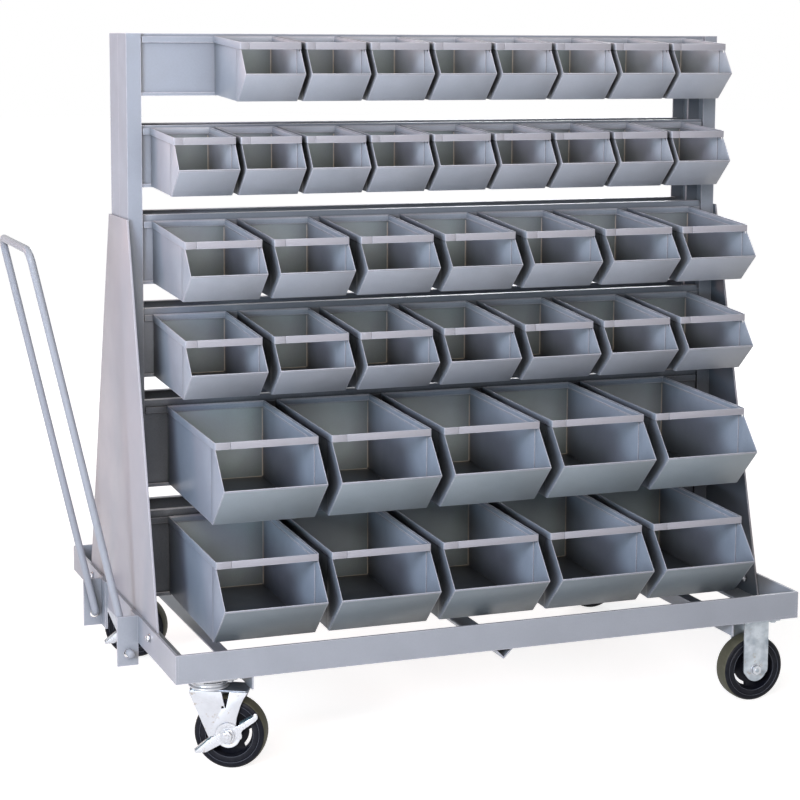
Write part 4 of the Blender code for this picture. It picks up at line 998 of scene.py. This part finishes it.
        # Name, colour, dull colour, roughness, cloudiness, depth of the bump and how much of a metal it is
        metals = (
            ("zinc_plate", toned(hue.zinc, 0.95), toned(hue.zinc, 0.45), 0.22, 0.5, 0.1, 0.8),
            ("fork_plate", toned(hue.zinc, 1.0), toned(hue.zinc, 0.75), 0.3, 0.5, 0.1, 0.55),
            ("brake_plate", toned(hue.zinc, 1.08), toned(hue.zinc, 0.8), 0.25, 0.5, 0.1, 0.7),
            # The brake's flanges and the swivel fork's crown are dark copies of the zinc: painted shade on
            # faces under the cart.
            ("brake_flange", (0.10, 0.17, 0.21, 1), (0.03, 0.05, 0.07, 1), 0.25, 0.5, 0.1, 0.8),
            ("fork_crown", (0.22, 0.25, 0.29, 1), (0.10, 0.12, 0.15, 1), 0.3, 0.5, 0.1, 0.7),
            ("fork_dull", (0.52, 0.57, 0.62, 1), (0.22, 0.26, 0.31, 1), 0.3, 0.8, 0.06, 0.7),
        )
        for name, colour, dull, rough, clouds, depth, metallic in metals:
            values = {"Colour": colour, "Dull Colour": dull, "Roughness": rough, "Cloud Amount": clouds}
            finish_material(name, zinc, values, (depth, 0.0008), metallic=metallic, shade_and_grime=zinc_contact_shade_and_grime)
        # Name, colour, dust, its amount, roughness, bump and sheen
        rubbers = (
            ("wheel_side", tuple(hue.rubber), (0.035, 0.037, 0.045, 1), 0.35, 0.34, (0.08, 0.0005), 0.12),
            ("wheel_tread", (0.085, 0.085, 0.06, 1), (0.16, 0.155, 0.12, 1), 0.6, 0.6, (0.2, 0.0008), 0.25),
            # The side ribs are paler and bluer than the side walls: painted highlight.
            ("wheel_ridge", (0.075, 0.085, 0.11, 1), (0.015, 0.015, 0.02, 1), 0.7, 0.3, (0.05, 0.0005), 0.4),
        )
        for name, colour, dusty, amount, rough, bump, sheen in rubbers:
            values = {"Colour": colour, "Dust Colour": dusty, "Dust Amount": amount, "Roughness": rough}
            finish_material(name, rubber, values, bump, sheen=sheen)
        return {"FINISHED"}


def round_edges(node, material):
    """Cleans a CAD node's flat faces, rounds its edges a little and gives it a finish."""
    piece = NODES[node]
    flatten = piece.modifiers.new("flat_faces", "DECIMATE")
    flatten.decimate_type = "DISSOLVE"
    flatten.angle_limit = math.radians(0.5)
    rounding = piece.modifiers.new("rounded_edges", "BEVEL")
    rounding.width = sizes().edge_round
    rounding.segments = 2
    rounding.limit_method = "ANGLE"
    rounding.angle_limit = math.radians(35)
    rounding.harden_normals = True
    piece.data.materials.clear()
    piece.data.materials.append(bpy.data.materials[material])


class BINCART_OT_frame(bpy.types.Operator):
    """Finishes the base and the racks, and builds the end plates with their bolts"""

    bl_idname = "bincart.frame"
    bl_label = "Base, racks and end plates"

    def execute(self, context):
        round_edges("base_frame", "frame_enamel")
        for node in ("rack_front", "rack_rear"):
            round_edges(node, "rack_enamel")
        middle = at(MIDDLE_X, MIDDLE_Y, 0)
        for label, side in (("left", -1), ("right", 1)):
            node = f"gusset_{label}"
            sheet = build_gusset(side, finishes(f"gusset_enamel_{label}", "bin_edge"))
            bolts = build_gusset_bolts(side, finishes("zinc_plate"))
            show(f"{node}_sheet", sheet, "cart", [node], middle)
            show(f"{node}_bolts", bolts, "cart", [], middle)
        return {"FINISHED"}


class BINCART_OT_bins(bpy.types.Operator):
    """Builds the folded sheet-metal bins, one for each bin of the cart"""

    bl_idname = "bincart.bins"
    bl_label = "Bins"

    def execute(self, context):
        for label, form in BIN_FORMS.items():
            names = [f"bin_enamel_{label}", "bin_edge", "bin_strap", "bin_floor", f"bin_back_{label}"]
            names += ["bin_seam", "bin_front_1", f"bin_flank_{label}"]
            first = build_bin(label, form, finishes(*names))
            meshes = {}
            for node in sorted(name for name in NODES if name.startswith(f"{label}_bin_")):
                row = node.split("_")[2]
                if row not in meshes:
                    meshes[row] = first.copy()
                    meshes[row].materials[FRONT_SLOT] = bpy.data.materials[f"bin_front_{row}"]
                low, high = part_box(node)
                place = at((low[0] + high[0]) / 2, high[1] - HOOK_REACH, low[2])
                show(f"{node}_sheet", meshes[row], node, [node], place)
            bpy.data.meshes.remove(first)
        return {"FINISHED"}


class BINCART_OT_casters(bpy.types.Operator):
    """Builds the wheels, the forks, the plates and the brake levers"""

    bl_idname = "bincart.casters"
    bl_label = "Casters"

    def execute(self, context):
        wheel = build_wheel(finishes("wheel_side", "wheel_tread", "wheel_ridge"))
        plate = build_swivel_plate(finishes("zinc_plate"))
        fork = build_swivel_fork(finishes("fork_plate", "fork_crown"))
        lever = build_brake_lever(finishes("brake_plate", "brake_flange"))
        rigid = build_rigid_fork(finishes("fork_dull", "brake_plate"))
        turn = spin(SWIVEL_TURN, "Z")
        roll = spin(RIGID_WHEEL_TURN, "Y")
        for end in ("front", "rear"):
            swivel, fixed = f"swivel_caster_{end}", f"rigid_caster_{end}"
            kingpin = over(f"{swivel}_plate")
            axle = kingpin @ turn @ at(SWIVEL_TRAIL, 0, WHEEL_RADIUS)
            face = axle @ at(0, -FORK_OUTSIDE - 0.3 * MM, 0)
            mount = over(f"{fixed}_wheel")
            pieces = (
                (swivel, "plate_and_race", "plate", plate, "cart", "caster_zinc", kingpin),
                (swivel, "pressed_fork", "fork", fork, f"swivel_fork_{end}", "caster_zinc", kingpin @ turn),
                (swivel, "rubber_wheel", "wheel", wheel, f"swivel_wheel_{end}", "wheel_rubber", axle),
                (swivel, "pedal_brake", "brake_lever", lever, f"brake_lever_{end}", "brake_zinc", face),
                (fixed, "pressed_fork", "fork", rigid, "cart", "caster_zinc", mount),
                (fixed, "rubber_wheel", "wheel", wheel, f"rigid_wheel_{end}", "wheel_rubber",
                 mount @ at(0, 0, WHEEL_RADIUS) @ roll),
            )
            for caster, name, node, mesh, body, slot, place in pieces:
                show(f"{caster}_{name}", mesh, body, [f"{caster}_{node}"], place)
        return {"FINISHED"}


class BINCART_OT_handle(bpy.types.Operator):
    """Builds the bent rod of the tow handle"""

    bl_idname = "bincart.handle"
    bl_label = "Tow handle"

    def execute(self, context):
        lean = spin(-HANDLE_LEAN, "Y")
        rod = build_handle([bpy.data.materials["handle_enamel"]])
        show("tow_handle_rod", rod, "tow_handle", ["tow_handle"], at(*PIVOT) @ lean)
        return {"FINISHED"}


def add_camera():
    """The photograph's viewpoint."""
    yaw, pitch, roll = CAMERA_TURNS
    forward = Vector((math.sin(yaw), math.cos(yaw), 0))
    right = Vector((math.cos(yaw), -math.sin(yaw), 0))
    up = Vector((0, 0, 1))
    ahead = forward * math.cos(pitch) - up * math.sin(pitch)
    above = up * math.cos(pitch) + forward * math.sin(pitch)
    across = right * math.cos(roll) + above * math.sin(roll)
    above = above * math.cos(roll) - right * math.sin(roll)
    camera = bpy.data.objects.new("camera", bpy.data.cameras.new("camera"))
    camera.data.lens = LENS
    camera.data.sensor_width = 36
    camera.data.shift_y = CAMERA_SHIFT
    camera.data.clip_end = 60
    turn = Matrix((across, above, -ahead)).transposed().to_4x4()
    camera.matrix_world = at(*CAMERA_PLACE) @ turn
    bpy.context.scene.collection.objects.link(camera)
    bpy.context.scene.camera = camera


def add_panel_light(name, place, width, height, power, colour):
    """A rectangular soft light aimed at the cart."""
    lamp = bpy.data.lights.new(name, "AREA")
    lamp.shape = "RECTANGLE"
    lamp.size = width
    lamp.size_y = height
    lamp.energy = power
    lamp.color = colour
    piece = bpy.data.objects.new(name, lamp)
    direction = Vector(LAMP_TARGET) - Vector(place)
    piece.matrix_world = at(*place) @ direction.to_track_quat("-Z", "Y").to_matrix().to_4x4()
    bpy.context.scene.collection.objects.link(piece)


def finish_floor(material):
    """Pale paper that takes the shadows. Viewing rays see it glow, up to white away from the cart."""
    tree = material.node_tree
    place = put(tree, "ShaderNodeNewGeometry").outputs["Position"]
    reach = put(tree, "ShaderNodeVectorMath", {0: place}, operation="LENGTH")
    away = ramp(tree, reach.outputs["Value"], *GLOW_REACH)
    glow = mixed(tree, away, FLOOR_GLOW, WHITE)
    values = {"Base Color": FLOOR_COLOUR, "Roughness": 1.0, "Specular IOR Level": 0.0}
    values["Emission Strength"] = 1.0
    values["Emission Color"] = mixed(tree, seen_by_viewers(tree), BLACK, glow)
    feed(tree, tree.nodes["Principled BSDF"], values)


def seen_by_viewers(tree):
    """One where a camera, glossy or transmission ray arrives, else zero."""
    path = put(tree, "ShaderNodeLightPath")
    seen = maths(tree, "MAXIMUM", path.outputs["Is Camera Ray"], path.outputs["Is Glossy Ray"])
    return maths(tree, "MAXIMUM", seen, path.outputs["Is Transmission Ray"])


def add_backdrop():
    """A pale sweep: a wide floor that takes the cart's shadow, and a white surround."""
    shape = bmesh.new()
    bmesh.ops.create_grid(shape, x_segments=2, y_segments=2, size=30)
    mesh = bpy.data.meshes.new("studio_floor")
    shape.to_mesh(mesh)
    shape.free()
    floor = bpy.data.objects.new("studio_floor", mesh)
    bpy.context.scene.collection.objects.link(floor)
    material = bpy.data.materials.new("floor_paper")
    material.use_nodes = True
    finish_floor(material)
    mesh.materials.append(material)
    world = bpy.data.worlds.new("studio")
    bpy.context.scene.world = world
    world.use_nodes = True
    tree = world.node_tree
    colour = mixed(tree, seen_by_viewers(tree), SKY_LIGHT, WHITE)
    tree.links.new(colour, tree.nodes["Background"].inputs["Color"])


class BINCART_OT_stage(bpy.types.Operator):
    """Sets the camera, the lights, the floor and the backdrop"""

    bl_idname = "bincart.stage"
    bl_label = "Studio"

    def execute(self, context):
        add_camera()
        add_backdrop()
        for lamp in LAMPS:
            add_panel_light(*lamp)
        context.scene.view_settings.view_transform = "Standard"
        return {"FINISHED"}


class BINCART_PT_panel(bpy.types.Panel):
    """Lists the cart's steps and finishes"""

    bl_idname = "BINCART_PT_panel"
    bl_label = "Mobile Bin Cart"
    bl_space_type = "VIEW_3D"
    bl_region_type = "UI"
    bl_category = "Bin Cart"

    def draw(self, context):
        layout = self.layout
        for settings in (context.scene.bin_cart_colours, context.scene.bin_cart_sizes):
            for name in settings.__annotations__:
                layout.prop(settings, name)
        for step in STEPS:
            layout.operator(step.bl_idname)


STEPS = (
    BINCART_OT_stage,
    BINCART_OT_materials,
    BINCART_OT_frame,
    BINCART_OT_bins,
    BINCART_OT_handle,
    BINCART_OT_casters,
)
CLASSES = (BinCartColours, BinCartSizes, *STEPS, BINCART_PT_panel)


def register():
    """Registers the classes and the settings."""
    for cls in CLASSES:
        bpy.utils.register_class(cls)
    bpy.types.Scene.bin_cart_colours = bpy.props.PointerProperty(type=BinCartColours)
    bpy.types.Scene.bin_cart_sizes = bpy.props.PointerProperty(type=BinCartSizes)


def unregister():
    """Removes the settings and the classes."""
    del bpy.types.Scene.bin_cart_sizes
    del bpy.types.Scene.bin_cart_colours
    for cls in reversed(CLASSES):
        bpy.utils.unregister_class(cls)


def main():
    """Runs each step."""
    register()
    bpy.ops.bincart.stage()
    bpy.ops.bincart.materials()
    bpy.ops.bincart.frame()
    bpy.ops.bincart.bins()
    bpy.ops.bincart.handle()
    bpy.ops.bincart.casters()


if __name__ == "__main__":
    main()
